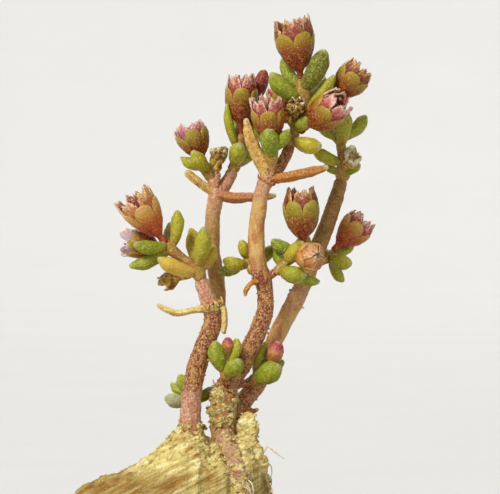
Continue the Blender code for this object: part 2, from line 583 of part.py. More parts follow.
def leaf(foot, tip, width, upward, collection):
    """A fleshy leaf from foot to tip: blunt, round below, flatter above, bowed down midway."""
    along = tip - foot
    length = along.length
    forward = along / length
    face = (upward - forward * upward.dot(forward)).normalized()
    side = face.cross(forward)

    def position(row, turn):
        share = (1 - math.cos(math.pi * row / LEAF_ROWS)) / 2
        fullness = LEAF_FOOT_WIDTH + (LEAF_TIP_WIDTH - LEAF_FOOT_WIDTH) * share
        swelling = fullness * math.sin(math.pi * row / LEAF_ROWS) ** LEAF_BLUNTNESS
        across = width / 2 * swelling * math.cos(turn)
        above = width * LEAF_THICKNESS * swelling * math.sin(turn)
        if above > 0:
            above *= LEAF_FLATNESS_ABOVE
        bow = LEAF_BOW * length * share * (1 - share)
        return place(*(foot + along * share + side * across + face * (above - bow)))

    return wrapped_sphere("leaf", LEAF_SIDES, LEAF_ROWS, position, collection)


def point_on(knots, share):
    """The point at that share of the way along the knots, and the direction there."""
    scaled = share * (len(knots) - 1)
    first = min(int(scaled), len(knots) - 2)
    start, end = Vector(knots[first][:3]), Vector(knots[first + 1][:3])
    return start.lerp(end, scaled - first), (end - start).normalized()


def make_head(name, head, model, workshop):
    """A green shoot with its leaves grown into it, cut clear of the flowers that it bears."""
    shoot = tube(name, head.shoot, workshop)
    leaves = [tube("branch", knots, workshop, resolution=1) for knots in head.branches]
    for share, tip, width in head.leaves:
        node, upward = point_on(head.shoot, share)
        outward = (Vector(tip) - node).normalized()
        leaves.append(leaf(node + outward * LEAF_SET_IN, Vector(tip), width, upward, workshop))
    boolean(shoot, "UNION", leaves, workshop)
    clearances = [clearance(flower, workshop) for flower in FLOWERS.values() if flower.head == name]
    clearances.append(stem_clearance(head.shoot[0], workshop))
    boolean(shoot, "DIFFERENCE", clearances, workshop)
    finished(shoot, name, "leaf", model)


def stem_clearance(start, workshop):
    """The room that the twig or stem under a shoot's start takes up, with a gap all round."""
    routes = [knots for stem in STEMS.values() for knots in [stem.route] + stem.twigs]
    below = min(routes, key=lambda knots: (Vector(knots[-1][:3]) - Vector(start[:3])).length)
    end, before = Vector(below[-1]), Vector(below[-2])
    beyond = end + (end - before) * (GAP / (end.xyz - before.xyz).length)
    beyond.w = end.w
    return tube("clearance", below[-4:-1] + [tuple(end), tuple(beyond)], workshop, swell=GAP)


def flower_point(flower, radius, height, turn):
    """A point at that radius and turn about the flower's axis, that high above its foot."""
    foot, mouth = Vector(flower.foot), Vector(flower.mouth)
    axis = (mouth - foot).normalized()
    front = Vector((0.0, -1.0, 0.0))
    front = (front - axis * front.dot(axis)).normalized()
    side = axis.cross(front)
    turn += math.radians(flower.turned)
    return place(*(foot + axis * height + front * radius * math.cos(turn)
                   + side * radius * math.sin(turn)))


def urn_rows(flower):
    """(radius, height) up the outside of a flower, from its stalk to its mouth."""
    cup = (Vector(flower.mouth) - Vector(flower.foot)).length - flower.stalk
    collar_radius, collar = STALK_COLLAR
    rows = [(STALK_RADIUS, 0.0), (collar_radius, flower.stalk + collar * cup)]
    fullness = (flower.fullness, (1 + flower.fullness) / 2, 1.0, 1.0)
    for full, (across, up) in zip(fullness, (CUP_BELLY, CUP_MIDDLE, CUP_LOBE_TIP, CUP_MOUTH)):
        rows.append((full * across * flower.width, flower.stalk + up * cup))
    return rows


def clearance(flower, workshop):
    """The room that a flower takes up, with a gap all round, to be cut from its shoot."""
    rows = [(radius + SEAT_GAP, height) for radius, height in urn_rows(flower)]
    rows[0] = (rows[0][0], -GAP)
    rows[-1] = (rows[-1][0], rows[-1][1] + GAP)

    def position(row, turn):
        if row in (0, len(rows) + 1):
            return flower_point(flower, 0.0, rows[0 if row == 0 else -1][1], 0.0)
        return flower_point(flower, *rows[row - 1], turn)

    return wrapped_sphere("clearance", CLEARANCE_SIDES, len(rows) + 1, position, workshop)


def sepal_rim(flower, turn):
    """(radius, height) of the calyx's edge, which stands up in blunt lobes."""
    middle, upper = urn_rows(flower)[3:5]
    lobe = abs(math.cos(LOBES * turn / 2)) ** LOBE_BLUNTNESS
    return (middle[0] + (upper[0] - middle[0]) * lobe, middle[1] + (upper[1] - middle[1]) * lobe)


def make_calyx(name, flower, model, workshop):
    """The fleshy cup of a flower, with five blunt lobes, on its stalk."""
    stalk, collar, lower, middle = urn_rows(flower)[:4]
    hollow = middle[0] - SHELL
    floor = middle[1] - CUP_DIP

    def position(row, turn):
        edge, rim = sepal_rim(flower, turn)
        rows = [
            (0.0, stalk[1]), stalk, collar, lower, (edge, rim),
            (edge - SHELL, rim), (hollow, floor), (0.0, floor),
        ]
        return flower_point(flower, *rows[row], turn)

    dried = flower.kind == "dried"
    calyx = wrapped_sphere(name, DRIED_SIDES if dried else BLOOM_SIDES, 7, position, workshop)
    finished(calyx, name, "dried" if dried else "calyx", model)


def make_petals(name, flower, model, workshop):
    """Five petals, joined at their feet, that fill the gaps between the lobes and have frayed tips."""
    middle, upper, top = urn_rows(flower)[3:]
    floor = middle[1] - CUP_DIP + GAP
    foot = middle[0] - SHELL - GAP

    def position(row, turn):
        column = round(turn / math.tau * BLOOM_SIDES) % len(PETAL_TIPS)
        edge, rim = sepal_rim(flower, turn)
        throat = edge - SHELL - GAP
        outer = throat if column == 0 else top[0]
        tip = max(rim + RIM_GAP + GAP, upper[1] + (top[1] - upper[1]) * PETAL_TIPS[column])
        rows = [
            (0.0, floor), (foot, floor), (throat, rim + RIM_GAP - PETAL_LEDGE),
            (outer, rim + RIM_GAP), (outer, tip), (outer - SHELL, tip), (0.0, upper[1]),
        ]
        return flower_point(flower, *rows[row], turn)

    petals = wrapped_sphere(name, BLOOM_SIDES, 6, position, workshop)
    finished(petals, name, "petal", model)


def make_bud(name, flower, model, workshop):
    """A closed bud on its stalk."""
    reach = (Vector(flower.mouth) - Vector(flower.foot)).length
    cup = reach - flower.stalk
    rows = [(0.0, 0.0)] + urn_rows(flower)[:2]
    rows += [(across * flower.width, flower.stalk + up * cup) for across, up in BUD_PROFILE]
    rows.append((0.0, reach))

    def position(row, turn):
        return flower_point(flower, *rows[row], turn)

    bud = wrapped_sphere(name, BUD_SIDES, len(rows) - 1, position, workshop)
    finished(bud, name, "calyx", model)


def make_flower(name, flower, model, workshop):
    """The nodes of one flower, by its kind."""
    if flower.kind == "bud":
        make_bud(f"bud_{name}", flower, model, workshop)
    elif flower.kind == "dried":
        make_calyx(f"dried_{name}", flower, model, workshop)
    else:
        make_calyx(f"calyx_{name}", flower, model, workshop)
        make_petals(f"petals_{name}", flower, model, workshop)


def main():
    for old in list(bpy.data.objects):
        bpy.data.objects.remove(old)
    model = bpy.data.collections.new("potted_crassula")
    workshop = bpy.data.collections.new("workshop")
    for collection in (model, workshop):
        bpy.context.scene.collection.children.link(collection)
    make_pot(model, workshop)
    make_soil(model, workshop)
    make_clod(model, workshop)
    for name, stem in STEMS.items():
        make_stem(name, stem, model, workshop)
    for name, head in HEADS.items():
        make_head(name, head, model, workshop)
    for name, flower in FLOWERS.items():
        make_flower(name, flower, model, workshop)


if __name__ == "__main__":
    main()
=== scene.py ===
import math
import random
from collections import namedtuple

import bmesh
import bpy
from mathutils import Matrix, Vector, noise


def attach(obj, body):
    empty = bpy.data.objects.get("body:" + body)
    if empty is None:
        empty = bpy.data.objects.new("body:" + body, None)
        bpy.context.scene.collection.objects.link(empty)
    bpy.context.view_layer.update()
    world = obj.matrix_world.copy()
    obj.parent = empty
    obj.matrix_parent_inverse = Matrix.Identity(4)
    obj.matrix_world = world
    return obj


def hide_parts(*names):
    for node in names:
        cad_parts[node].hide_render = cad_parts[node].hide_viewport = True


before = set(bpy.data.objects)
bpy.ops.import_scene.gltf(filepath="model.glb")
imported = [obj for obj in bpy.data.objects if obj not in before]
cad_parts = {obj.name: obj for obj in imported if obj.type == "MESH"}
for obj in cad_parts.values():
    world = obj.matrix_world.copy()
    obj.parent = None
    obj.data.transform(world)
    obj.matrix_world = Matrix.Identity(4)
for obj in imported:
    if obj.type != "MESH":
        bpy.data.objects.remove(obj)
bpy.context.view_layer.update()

# A dwarf crassula in flower, rooted in a lump of pale sandy ground in a plain clay pot. Each
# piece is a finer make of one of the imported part's nodes and stands where that node stands.
# Sizes are in millimetres and are turned into metres as each point is placed. Plant heights
# count from the collar, the level at which the stems leave the ground. -Y is the best side.
# Coats of noise are (size, depth), beads (size, height) and waves (number, height, start).

MM = 0.001
COLLAR = 73.0
ROOT = "root"

# What each point of a mesh carries for its material: how far along its own form it is, a tone
# that sets its colour, and a third mark. The third is 1 on the inner side of petals, dried lobes
# and sheaths and on the rims of sepals, how strong the pink bloom is on stems, and on leafy
# heads how much of the green gives way to the shoot's own skin.
MARKS = ("along", "tone", "inner")

# Points this close together are one, on wrapped forms and on turned ones
SEAM = 0.0001
TURNED_SEAM = 0.01

SEED = 5

# Pot
POT_HEIGHT = 60.0
POT_RIM_RADIUS = 35.0
POT_BAND_HEIGHT = 15.0
POT_BAND_STEP = 3.0
POT_BAND_TAPER = 0.7
POT_FOOT_RADIUS = 24.0
POT_WALL = 3.2
POT_FLOOR = 4.0
POT_EDGE = 0.8
POT_EDGE_STEPS = 4
POT_SHARP = 0.3
DRAIN_RADIUS = 5.0
POT_SIDES = 144
POT_COURSES = (0.2, 0.4, 0.6, 0.8)
POT_WOBBLE = ((2, 0.10, 0.4), (5, 0.05, 1.9))
POT_DENTS = ((17.0, 0.10), (4.0, 0.03))

# Ground
SOIL_TOP = 56.0
SOIL_WALL_GAP = 0.4
SOIL_EDGE = 0.8
SOIL_FOOT_EDGE = 1.4
SOIL_BOTTOM = 4.3
SOIL_RISE = 0.9
SOIL_SCALE = 0.22
SOIL_SIDES = 260
SOIL_ROWS = 60
SOIL_SEAT = (1.02, 0.75, 0.4, 0.0)
SOIL_MARKS = (0, 0.5, 0)
SOIL_ROUGH_DEPTH = 1.5
SOIL_CRUMB_DEPTH = 0.8
SOIL_GRIT = ((2.6, 0.50), (1.1, 0.40), (0.45, 0.20))
SOIL_CRUMBS = 2200
SOIL_CRUMB_SIZES = (0.25, 0.95)
GRIT_CRUMBS = 170
GRIT_SIZES = (0.4, 1.0)
CLOD_CENTRE = (-9.0, 1.5)
CLOD_RADII = (17.5, 14.5)
CLOD_RAGGED = ((3, 0.05), (7, 0.035))
CLOD_SEAT_DEPTH = 3.0
CLOD_SEAT_SLOPE = 0.25
CLOD_SEAT_GAP = 0.4
CLOD_EDGE = 1.4
CLOD_EDGE_RISE = 3.0
CLOD_BACK_FALL = 0.045
CLOD_FRONT_FALL = 0.034
CLOD_OUTER_SHARE = 0.97
CLOD_UNDER_SHARE = 0.98
CLOD_SIDES = 330
CLOD_UNDER_ROWS = 12
CLOD_TOP_ROWS = 150
LUMP_HEIGHT = 0.9
LUMP_SCALE = 0.17
CRUMB_HEIGHT = 0.6
CRUMB_SCALE = 0.55
LAYER_TILT = math.radians(27)
LAYER_STEP = 1.15
LAYER_WARP = (4.5, 0.9)
LAYER_DEPTH = 0.42
LAYER_STREAK = (5.0, 2.2, 0.5)
LEDGE_END = 0.8
LEDGE_PATCH = 2.8
LEDGE_PATCH_START = (5.0, 1.0, 2.0)
CRUST_GRAIN = ((2.2, 0.32), (0.8, 0.20), (0.34, 0.14))
CRUST_RELIEF_START = 0.6
CRUST_GRAIN_REACH = 1.5
CRUST_CRUMB_START = 0.8
CLOD_CRUMBS = 1100
UPPER_CRUMB_WEIGHT = 3
CLOD_CRUMB_LEVEL = -3.2
CLOD_CRUMB_SIZES = (0.07, 0.30)
# Painted shade on the lump's lower part: how strong, the height from the pot's foot where it begins, and
# how far below that it is full.
CLOD_LOW_SHADE = 0.9
CLOD_LOW_SHADE_TOP = 70.0
CLOD_LOW_SHADE_REACH = 4.0
CREVICE = [(-0.2, -2.6), (0.5, -4.6), (1.1, -6.4), (1.3, -8.4)]
CREVICE_FRONT = -3.0
CREVICE_WIDTH = 0.6
CREVICE_DEPTH = 1.1
RIGHT_FLANK = -2.0
ROOT_TONE_FALL = 0.5
ROOT_TONE_FADE = (0.45, 0.3)
ROOT_HAIRS = 26
ROOT_HAIR_AREA = ((2.4, 6.6), (-8.4, -5.2))
ROOT_HAIR_RADII = (0.06, 0.11)
ROOT_HAIR_LENGTHS = (1.6, 3.4)
ROOT_HAIR_REACH = (0.35, 0.7)
ROOT_HAIR_LEAN = ((-0.4, 1.0), (-0.5, 0.1))
ROOT_HAIR_SUNK = 0.2
# Its bends as shares of its reach, its lean and its length
ROOT_HAIR_BENDS = ((1, 0.3, 0.15), (1.3, 0.9, 0.5), (0.8, 1.2, 1))
ROOT_HAIR_TAPER = 0.15
ROOT_HAIR_TONES = (0.5, 1.0)
ROOT_HAIR_FACING = -0.4
FLANK_CRUMBS = 850
FLANK_CRUMB_SIZES = (0.10, 0.42)
STEM_CRUMBS = 1000
STEM_CRUMB_SIZES = (0.08, 0.36)
STEM_CRUMB_LEVEL = -1.5
BARK_FLAKES = 620
BARK_FLAKE_LEVEL = 24.0
BARK_FLAKE_SIZES = (0.10, 0.34)
BARK_FLAKE_FLATNESS = 0.3
CRUMB_RARITY = 2.5
CRUMB_STAND = 0.3
CRUMB_BREADTH = (0.6, 1.0)
CRUMB_HEIGHTS = (0.5, 0.9)
CRUMB_KNOCKS = (0.75, 1.2)

# Tubes
STEM_SIDES = 44
STEM_STEP = 0.2
TWIG_SIDES = 28
TUBE_END = 0.15
STEEP = 0.8
FIBRE_SIDES = 8
FIBRE_STEP = 0.4
BARK = ((1.6, 0.10), (0.45, 0.07))
BARK_BEAD = (0.34, 0.075)
CRUSTED_BARK = ((1.3, 0.45), (0.5, 0.35), (0.28, 0.16))
SLEEVE_GRAIN = ((1.1, 0.70), (0.5, 0.50), (0.28, 0.24))
SLEEVE_LUMPS = (0.25, 2.6)
WITHERED_SKIN = ((0.9, 0.10), (0.35, 0.07))
WITHERED_BEAD = (0.3, 0.04)
WITHERED_RIDGES = 5
WITHERED_TWIST = 4
WITHERED_RIDGE = 0.10
WITHERED_HOLLOW = 0.35
WITHERED_WIDTH = 1.12
WITHERED_THICKNESS = 0.88
SHEATH_COLUMNS = 60
SHEATH_ROWS = 10
SHEATH_AROUND = 0.97
SHEATH_LIFT = 0.05
SHEATH_LENGTH = 0.40
SHEATH_RAGGED = 1.3
SHEATH_SHORTEST = 0.06
SHEATH_PALENESS = 0.8
SHEATH_FLARE = 0.6
SHEATH_THICKNESS = 0.12

# Leaves
LEAF_SIDES = 36
LEAF_ROWS = 34
LEAF_THICKNESS = 0.45
LEAF_FLATNESS_ABOVE = 0.8
LEAF_BLUNTNESS = 0.7
LEAF_FOOT_WIDTH = 0.84
LEAF_TIP_WIDTH = 1.2
LEAF_BOW = 0.2
LEAF_SET_IN = 0.1
LEAF_POINT = 0.32
LEAF_POINT_START = 0.72
LEAF_SKIN = ((2.0, 0.16), (0.7, 0.05))
LEAF_BEAD = (0.30, 0.095)
SHEATH_SWELL = 0.28
SHEATH_REACH = 0.75
SHOOT_OVERLAP = 0.9
SHOOT_MARKS = (0.2, 0.6)
SHOOT_BARENESS = 0.95
BRANCH_BARENESS = 0.85

# Flowers
LOBES = 5
LOBE_ANGLE = math.tau / LOBES
STALK_RADIUS = 0.5
STALK_SUNK = 0.5
STALK_ROWS = 4
CUP_NECK = (0.04, 0.55)
CUP_SIDES = 60
CUP_ROWS = 24
CUP_TOP = 0.52
CUP_INSET = 0.12
CUP_RISE = 1.25
CUP_CLOSING_START = 0.7
SEPAL_SIDES = 30
SEPAL_ROWS = 30
SEPAL_FOOT = 0.10
SEPAL_TIP = 0.745
SEPAL_HALF = math.radians(38)
SEPAL_THICKNESS = 0.62
SEPAL_SINK = 0.16
SEPAL_RIM = 6
SEPAL_FOOT_BLUNTNESS = 0.30
SEPAL_TAPER = 0.42
SEPAL_ROUNDNESS = 0.6
SEPAL_SKIN = ((1.5, 0.10), (0.5, 0.05))
PETAL_COLUMNS = 40
PETAL_ROWS = 16
PETAL_FOOT = 0.34
PETAL_HALF = math.radians(40)
PETAL_THICKNESS = 0.24
PETAL_INSET = 0.26
PETAL_LAP = 0.17
PETAL_CROWN = 0.22
PETAL_EDGE = [(-1.0, 0.60), (-0.78, 0.80), (-0.42, 0.985), (0.0, 0.93), (0.42, 1.0),
              (0.78, 0.82), (1.0, 0.58)]
PETAL_FRAY = (0.11, 0.065)
PETAL_FINE_FRAY = (2.6, 0.6)
PETAL_BEND_START = 0.7
PETAL_WHOLENESS = 0.8
PETAL_SEED_STEP = 3.7
PETAL_ROUND = 0.38
PETAL_UNEVEN = 0.16
PETAL_STREAK = 0.7
PETAL_SKIN = ((1.2, 0.08), (0.4, 0.05))
PETAL_BEAD = (0.32, 0.125)
FLOWER_BEAD = (0.30, 0.110)
MOTTLE_ROUGHNESS = 0.6
# Painted glints: their spacing as a share of the bead size, and how pale they are.
GLINT_SPACING = 1.8
GLINT_PALENESS = 0.35
WHITE = (255, 255, 255)
STAMEN_RADIUS = 0.09
ANTHER = 0.24
ANTHER_SIZES = (0.8, 1.1)
ANTHER_MARKS = (1.0, 0.0, 1.0)
CARPEL_SIDES = 12
CARPEL_STEP = 0.25
CARPEL_WIDTHS = (0.55, 0.495, 0.1375)
CARPEL_FOOT = 0.42
CARPEL_TOP = 0.80
CARPEL_SPREAD = 0.13
CARPEL_TURN = 0.25
CARPEL_LEAN = 0.3
# A stamen's way up as (share of the flower's width, share of the cup's height)
STAMEN_WAY = ((0.20, 0.5), (0.24, 0.72), (0.22, 0.86))
STAMEN_SIDES = 8
STAMEN_STEP = 0.3
STAMEN_MARKS = (0.7, 0.5, 1.0)
BUD_SIDES = 60
BUD_ROWS = 40
BUD_SUNK = 0.4
BUD_NECK = (0.05, 0.55)
# A closed bud above its neck as (share of its height, share of its width)
BUD_OUTLINE = ((0.34, 0.42), (0.60, 0.50), (0.86, 0.33), (1.0, 0.10))
BUD_GROOVE = 0.10
BUD_SKIN = ((0.9, 0.06), (0.4, 0.04))
DRIED_COLUMNS = 16
DRIED_ROWS = 12
DRIED_FOOT = 0.15
DRIED_SHORTEST = 0.72
DRIED_UNEVEN = 0.28
DRIED_STRAY = 0.2
DRIED_ROUND = 0.35
DRIED_CURL = 0.5
DRIED_SPREAD = 0.25
DRIED_HALF = 0.62
DRIED_THICKNESS = 0.14
DRIED_CLOSING = 0.26
DRIED_SKIN = ((0.9, 0.45), (0.4, 0.22))

# Light and camera
CAMERA_AIM = (3.75, 0.0, 101.2)
CAMERA_DISTANCE = 600.0
CAMERA_ELEVATION = 2.0
PICTURE_WIDTH = 75.0
SENSOR = 36.0
CAMERA_NEAR = 0.01
# Each lamp is (place, power, width), in metres and watts
LAMPS = {
    "key": ((-1.50, -2.00, 2.40), 105.0, 0.9),
    "fill": ((2.40, -2.10, 1.05), 17.0, 1.8),
    "back": ((0.45, 2.40, 2.55), 66.0, 1.8),
}
STUDIO_COLOUR = (1.0, 0.99, 0.97, 1.0)
STUDIO_STRENGTH = 0.25
FLOOR_FLAT = 1800.0
FLOOR_SWEEP = 900.0
FLOOR_SWEEP_STEPS = 12
FLOOR_SIDES = 96

Stem = namedtuple("Stem", "route twigs withered sheaths sleeve tones pinks")
Head = namedtuple("Head", "shoot leaves branches", defaults=[[]])
Flower = namedtuple("Flower", "kind foot mouth width stalk closing tone tint fullness turned",
                    defaults=[0.0, 1.0, 0.0])

# The lump's top as the front view shows it, as (x, height) from left to right
CLOD_RIDGE = [(-27, -14), (-22.3, -8.6), (-16.8, -6.3), (-11.5, -3.6), (-8, -0.6), (-6.8, 0.7),
              (-4, 0.7), (-2.2, -1), (-1, -0.6), (1, -0.3), (4.2, -0.6), (5.6, -3.3), (6.4, -7),
              (8, -13.5)]
# Tubes are lists of (x, y, height, radius) knots. Thick old roots, crusted with sand, run down
# the front of the lump: (tone, knots).
CLOD_ROOTS = {
    "left_root": (2, [(-0.5, -1.6, 0.1, 1.1), (-0.1, -3, -0.4, 1.2), (0.7, -5, -1.7, 1.25),
                  (1.5, -7.6, -3.3, 1.4), (2.1, -9.3, -4.9, 1.4), (2.5, -10.3, -7.6, 1.3),
                  (2.8, -10.4, -14, 1.1)]),
    "right_root": (1.2, [(2.4, -1.2, -1.2, 1), (3.6, -2.6, -1.5, 1.4), (4.7, -3.9, -3.6, 1.5),
                   (5.2, -4.8, -6.8, 1.3), (5.4, -5.4, -10, 1.2), (5.6, -5.6, -14, 1)]),
    "root_stub": (0.2, [(3.4, -0.5, -2.4, 1.6), (3.4, -0.5, 0.6, 1.6), (3.2, -0.4, 2.2, 1.3),
                  (3, -0.3, 3.2, 0.8)]),
}
# A stem's withered leaves are (tone, knots), with tones from 0, pink-tan, over 0.5,
# orange-brown, to 1, straw. Its papery sheaths are (height, reach up, flare, tone), and the sand
# caked round its foot is (lowest, highest, thickness). The stem's own tones are (height, tone):
# 0 dark red, 0.25 red-brown, 0.5 pink-tan, 0.75 peach and 1 olive-tan. Its pinks are (height,
# how much pink bloom lies on the bark).
STEMS = {
    "stem_left": Stem(
        route=[(-5.3, -1, -4.6, 1.5), (-5.3, -1, 0.5, 1.62), (-5.2, -1, 3.3, 1.55),
               (-4.9, -1, 6.6, 1.5), (-4.3, -0.9, 9.9, 1.48), (-3.2, -0.8, 13.2, 1.42),
               (-2, -0.6, 16.3, 1.38), (-1.9, -0.5, 18.2, 1.32), (-2.1, -0.5, 19.2, 1.6),
               (-2.4, -0.5, 20, 1.25), (-3, -0.5, 21.6, 1.18), (-3.7, -0.5, 23.5, 1.1)],
        twigs=[[(-5.2, -0.6, 3.4, 0.7), (-5.3, 0.9, 3.9, 0.65), (-5.3, 1.5, 4.4, 0.6)]],
        withered=[(1, [(-2.6, -0.7, 19, 0.7), (-4.8, -1.2, 18.9, 0.62), (-6.4, -1.4, 18.5, 0.62),
                  (-8.2, -1.5, 18.7, 0.62), (-10.2, -1.6, 19.6, 0.35)]),
                  (0.95, [(-1.6, -0.8, 19.6, 0.6), (-0.3, -1.2, 19, 0.6), (0, -1.3, 17.3, 0.55),
                  (-0.2, -1.3, 15.2, 0.35)])],
        sheaths=[(18.7, 1.4, 0.42, 1), (19.7, -0.9, 0.3, 0.7)],
        sleeve=(-2.5, 2.3, 0.1),
        tones=[(-2, 0.5), (2, 0.56), (4.5, 0.56), (7, 0.24), (12, 0.18), (15.5, 0.08), (17.5, 0.12),
               (19, 0.4), (21, 0.56), (24, 0.56)],
        pinks=[(1, 0.4), (3, 1), (5.5, 0.9), (8, 0), (18.5, 0), (20.5, 0.9), (24, 0.7)]),
    "stem_middle": Stem(
        route=[(0.9, 0, -4.6, 1.4), (0.2, 0, -1.5, 1.75), (-0.4, 0, 1.2, 1.85), (-0.4, 0, 4.9, 1.8),
               (0.2, 0, 7, 1.75), (1.2, 0, 8.6, 1.4), (2.5, 0, 10.2, 1.3), (3.7, 0, 13, 1.32),
               (5.1, 0, 15.8, 1.35), (6, -0.1, 18.8, 1.25), (6, -0.2, 21.5, 1.18),
               (5.6, -0.3, 23.5, 1.38), (5.1, -0.3, 25.4, 1.22), (4.7, -0.4, 28, 1.26),
               (4.8, -0.6, 32, 1.2), (5.5, -0.9, 36.4, 1.12), (6.3, -1, 38.4, 1.2),
               (6.9, -1.6, 40, 0.85), (7, -2, 41, 0.75)],
        twigs=[[(6.5, -0.9, 38.3, 0.9), (8.2, -0.4, 40.3, 0.88), (9.3, -0.1, 42.2, 0.85),
               (9.8, 0, 43.6, 0.82)], [(5.8, -0.4, 23.4, 0.7), (7, -0.8, 24.1, 0.6),
               (7.9, -1, 24.7, 0.58)], [(5.4, 0.2, 23.5, 0.7), (4.5, 1.4, 24.1, 0.6),
               (4, 2.1, 24.7, 0.55)], [(0.6, -0.6, 7.6, 0.8), (0.2, -1.9, 8.1, 0.7),
               (0.1, -2.6, 8.9, 0.65)], [(1.4, 0.4, 7.9, 0.8), (3, 1.1, 7.6, 0.7), (4, 1.3, 8, 0.7)]],
        withered=[(0.75, [(6.6, -1, 38.6, 0.95), (5.7, -1.6, 40.5, 0.95), (4.6, -2, 42.6, 0.85),
                  (3.7, -2.3, 45, 0.7), (3.1, -2.4, 47.5, 0.3)]), (0.44, [(6.4, -1, 38.4, 0.8),
                  (8.6, -1.5, 38.7, 0.95), (11.2, -1.8, 39.3, 1.02), (13.6, -2, 39.8, 0.85),
                  (15.5, -2.2, 40.2, 0.3)]), (0.5, [(5.3, -0.8, 23.3, 0.5), (4, -1.6, 22.9, 0.45),
                  (3.2, -1.7, 22, 0.42), (3, -1.7, 20.9, 0.3)])],
        sheaths=[(6.8, 0.6, 0.5, 1), (37.9, 0.9, 0.22, 0.5)],
        sleeve=(0.6, 7.2, 0.17),
        tones=[(-2, 0.5), (2, 0.55), (5.5, 0.6), (7.2, 0.08), (9, 0.1), (12, 0.24), (19, 0.22),
               (21.6, 0.26), (22.8, 0.02), (24, 0), (25.2, 0.45), (27, 0.66), (30, 0.76), (34, 0.76),
               (36.5, 0.6), (38.8, 0.45), (40, 0.24), (44, 0.2)],
        pinks=[(25, 0), (30, 0.05), (34, 0.15), (36.8, 0.7), (38.5, 0.4), (40, 0)]),
    "stem_right": Stem(
        route=[(0.6, 3.9, -4.6, 1.25), (0.6, 3.9, 0.2, 1.3), (1.4, 3.8, 2.9, 1.35),
               (3.2, 3.9, 5.3, 1.35), (4.9, 4.1, 7.3, 1.3), (5.9, 4.4, 9.8, 1.28),
               (6.8, 4.8, 12.2, 1.28), (8, 5.3, 15, 1.32), (9.6, 5.9, 18, 1.35), (11.6, 6.5, 21.9, 1.3),
               (13.3, 7, 26, 1.32), (15.2, 7.4, 30.7, 1.22), (16.8, 7.8, 35.2, 1.12),
               (17.7, 8, 38.3, 1.02)],
        twigs=[[(13.2, 7, 25.4, 0.8), (14.3, 7.4, 25.6, 0.7), (15, 7.8, 26, 0.65)]],
        withered=[(0.6, [(2.4, 3.7, 4.2, 0.7), (4, 2.9, 3.4, 0.5), (5, 2.4, 3.6, 0.35)])],
        sheaths=[(11, 0.9, 0.25, 0.6), (25, 0.9, 0.22, 0.5)],
        sleeve=(-2.5, 3.4, 0.22),
        tones=[(0, 0.4), (4, 0.25), (10, 0.4), (15, 0.7), (20, 0.84), (26, 0.92), (32, 1), (38, 0.98)],
        pinks=[(0, 0.4), (6, 0.2), (10, 0), (16, 0.1), (20, 0.5), (22, 0.5), (25, 0)]),
    "stem_back": Stem(
        route=[(-4.9, 6.3, -4.6, 1.1), (-4.9, 6.3, 0, 1.22), (-4.8, 6.3, 5.6, 1.2),
               (-4.2, 6.3, 9.9, 1.18), (-2.9, 6.3, 13.6, 1.18), (-1.5, 6.3, 17, 1.18),
               (-1.1, 6.3, 20.2, 1.2), (-1.4, 6.4, 23.8, 1.2), (-2, 6.6, 27.7, 1.18),
               (-1.9, 6.9, 32.5, 1.12), (-1.4, 7, 36, 1.2), (-1.7, 7.1, 37.4, 0.9),
               (-2.2, 7.2, 38.4, 0.8)],
        twigs=[[(-1.4, 7, 35.9, 1), (-0.2, 7, 37.2, 1), (0.7, 7, 38.6, 0.95), (1.2, 6.9, 39.7, 0.9)],
               [(-1.5, 6.9, 36.4, 0.55), (-1.2, 6, 37.9, 0.45), (-1.1, 5.5, 39.3, 0.42)]],
        withered=[(0.8, [(-1.4, 7, 36, 0.85), (-3, 6.8, 37.2, 0.82), (-4.6, 6.6, 38.4, 0.85),
                  (-6.1, 6.5, 39.4, 0.6)]), (0.22, [(-1.4, 7, 36, 0.95), (1, 6.6, 35.6, 1.05),
                  (3.4, 6.1, 35.7, 0.95), (5.6, 5.6, 35.7, 0.8), (7.7, 5.2, 35.8, 0.35)])],
        sheaths=[(17.4, 0.9, 0.22, 0.6)],
        sleeve=(-2.5, 1.8, 0.16),
        tones=[(0, 0.3), (10, 0.45), (18, 0.78), (24, 0.92), (30, 0.9), (34, 0.8), (36, 0.55),
               (38, 0.5)],
        pinks=[(0, 0.3), (10, 0.3), (16, 0), (30, 0), (34, 0.7), (38, 0.6)]),
}
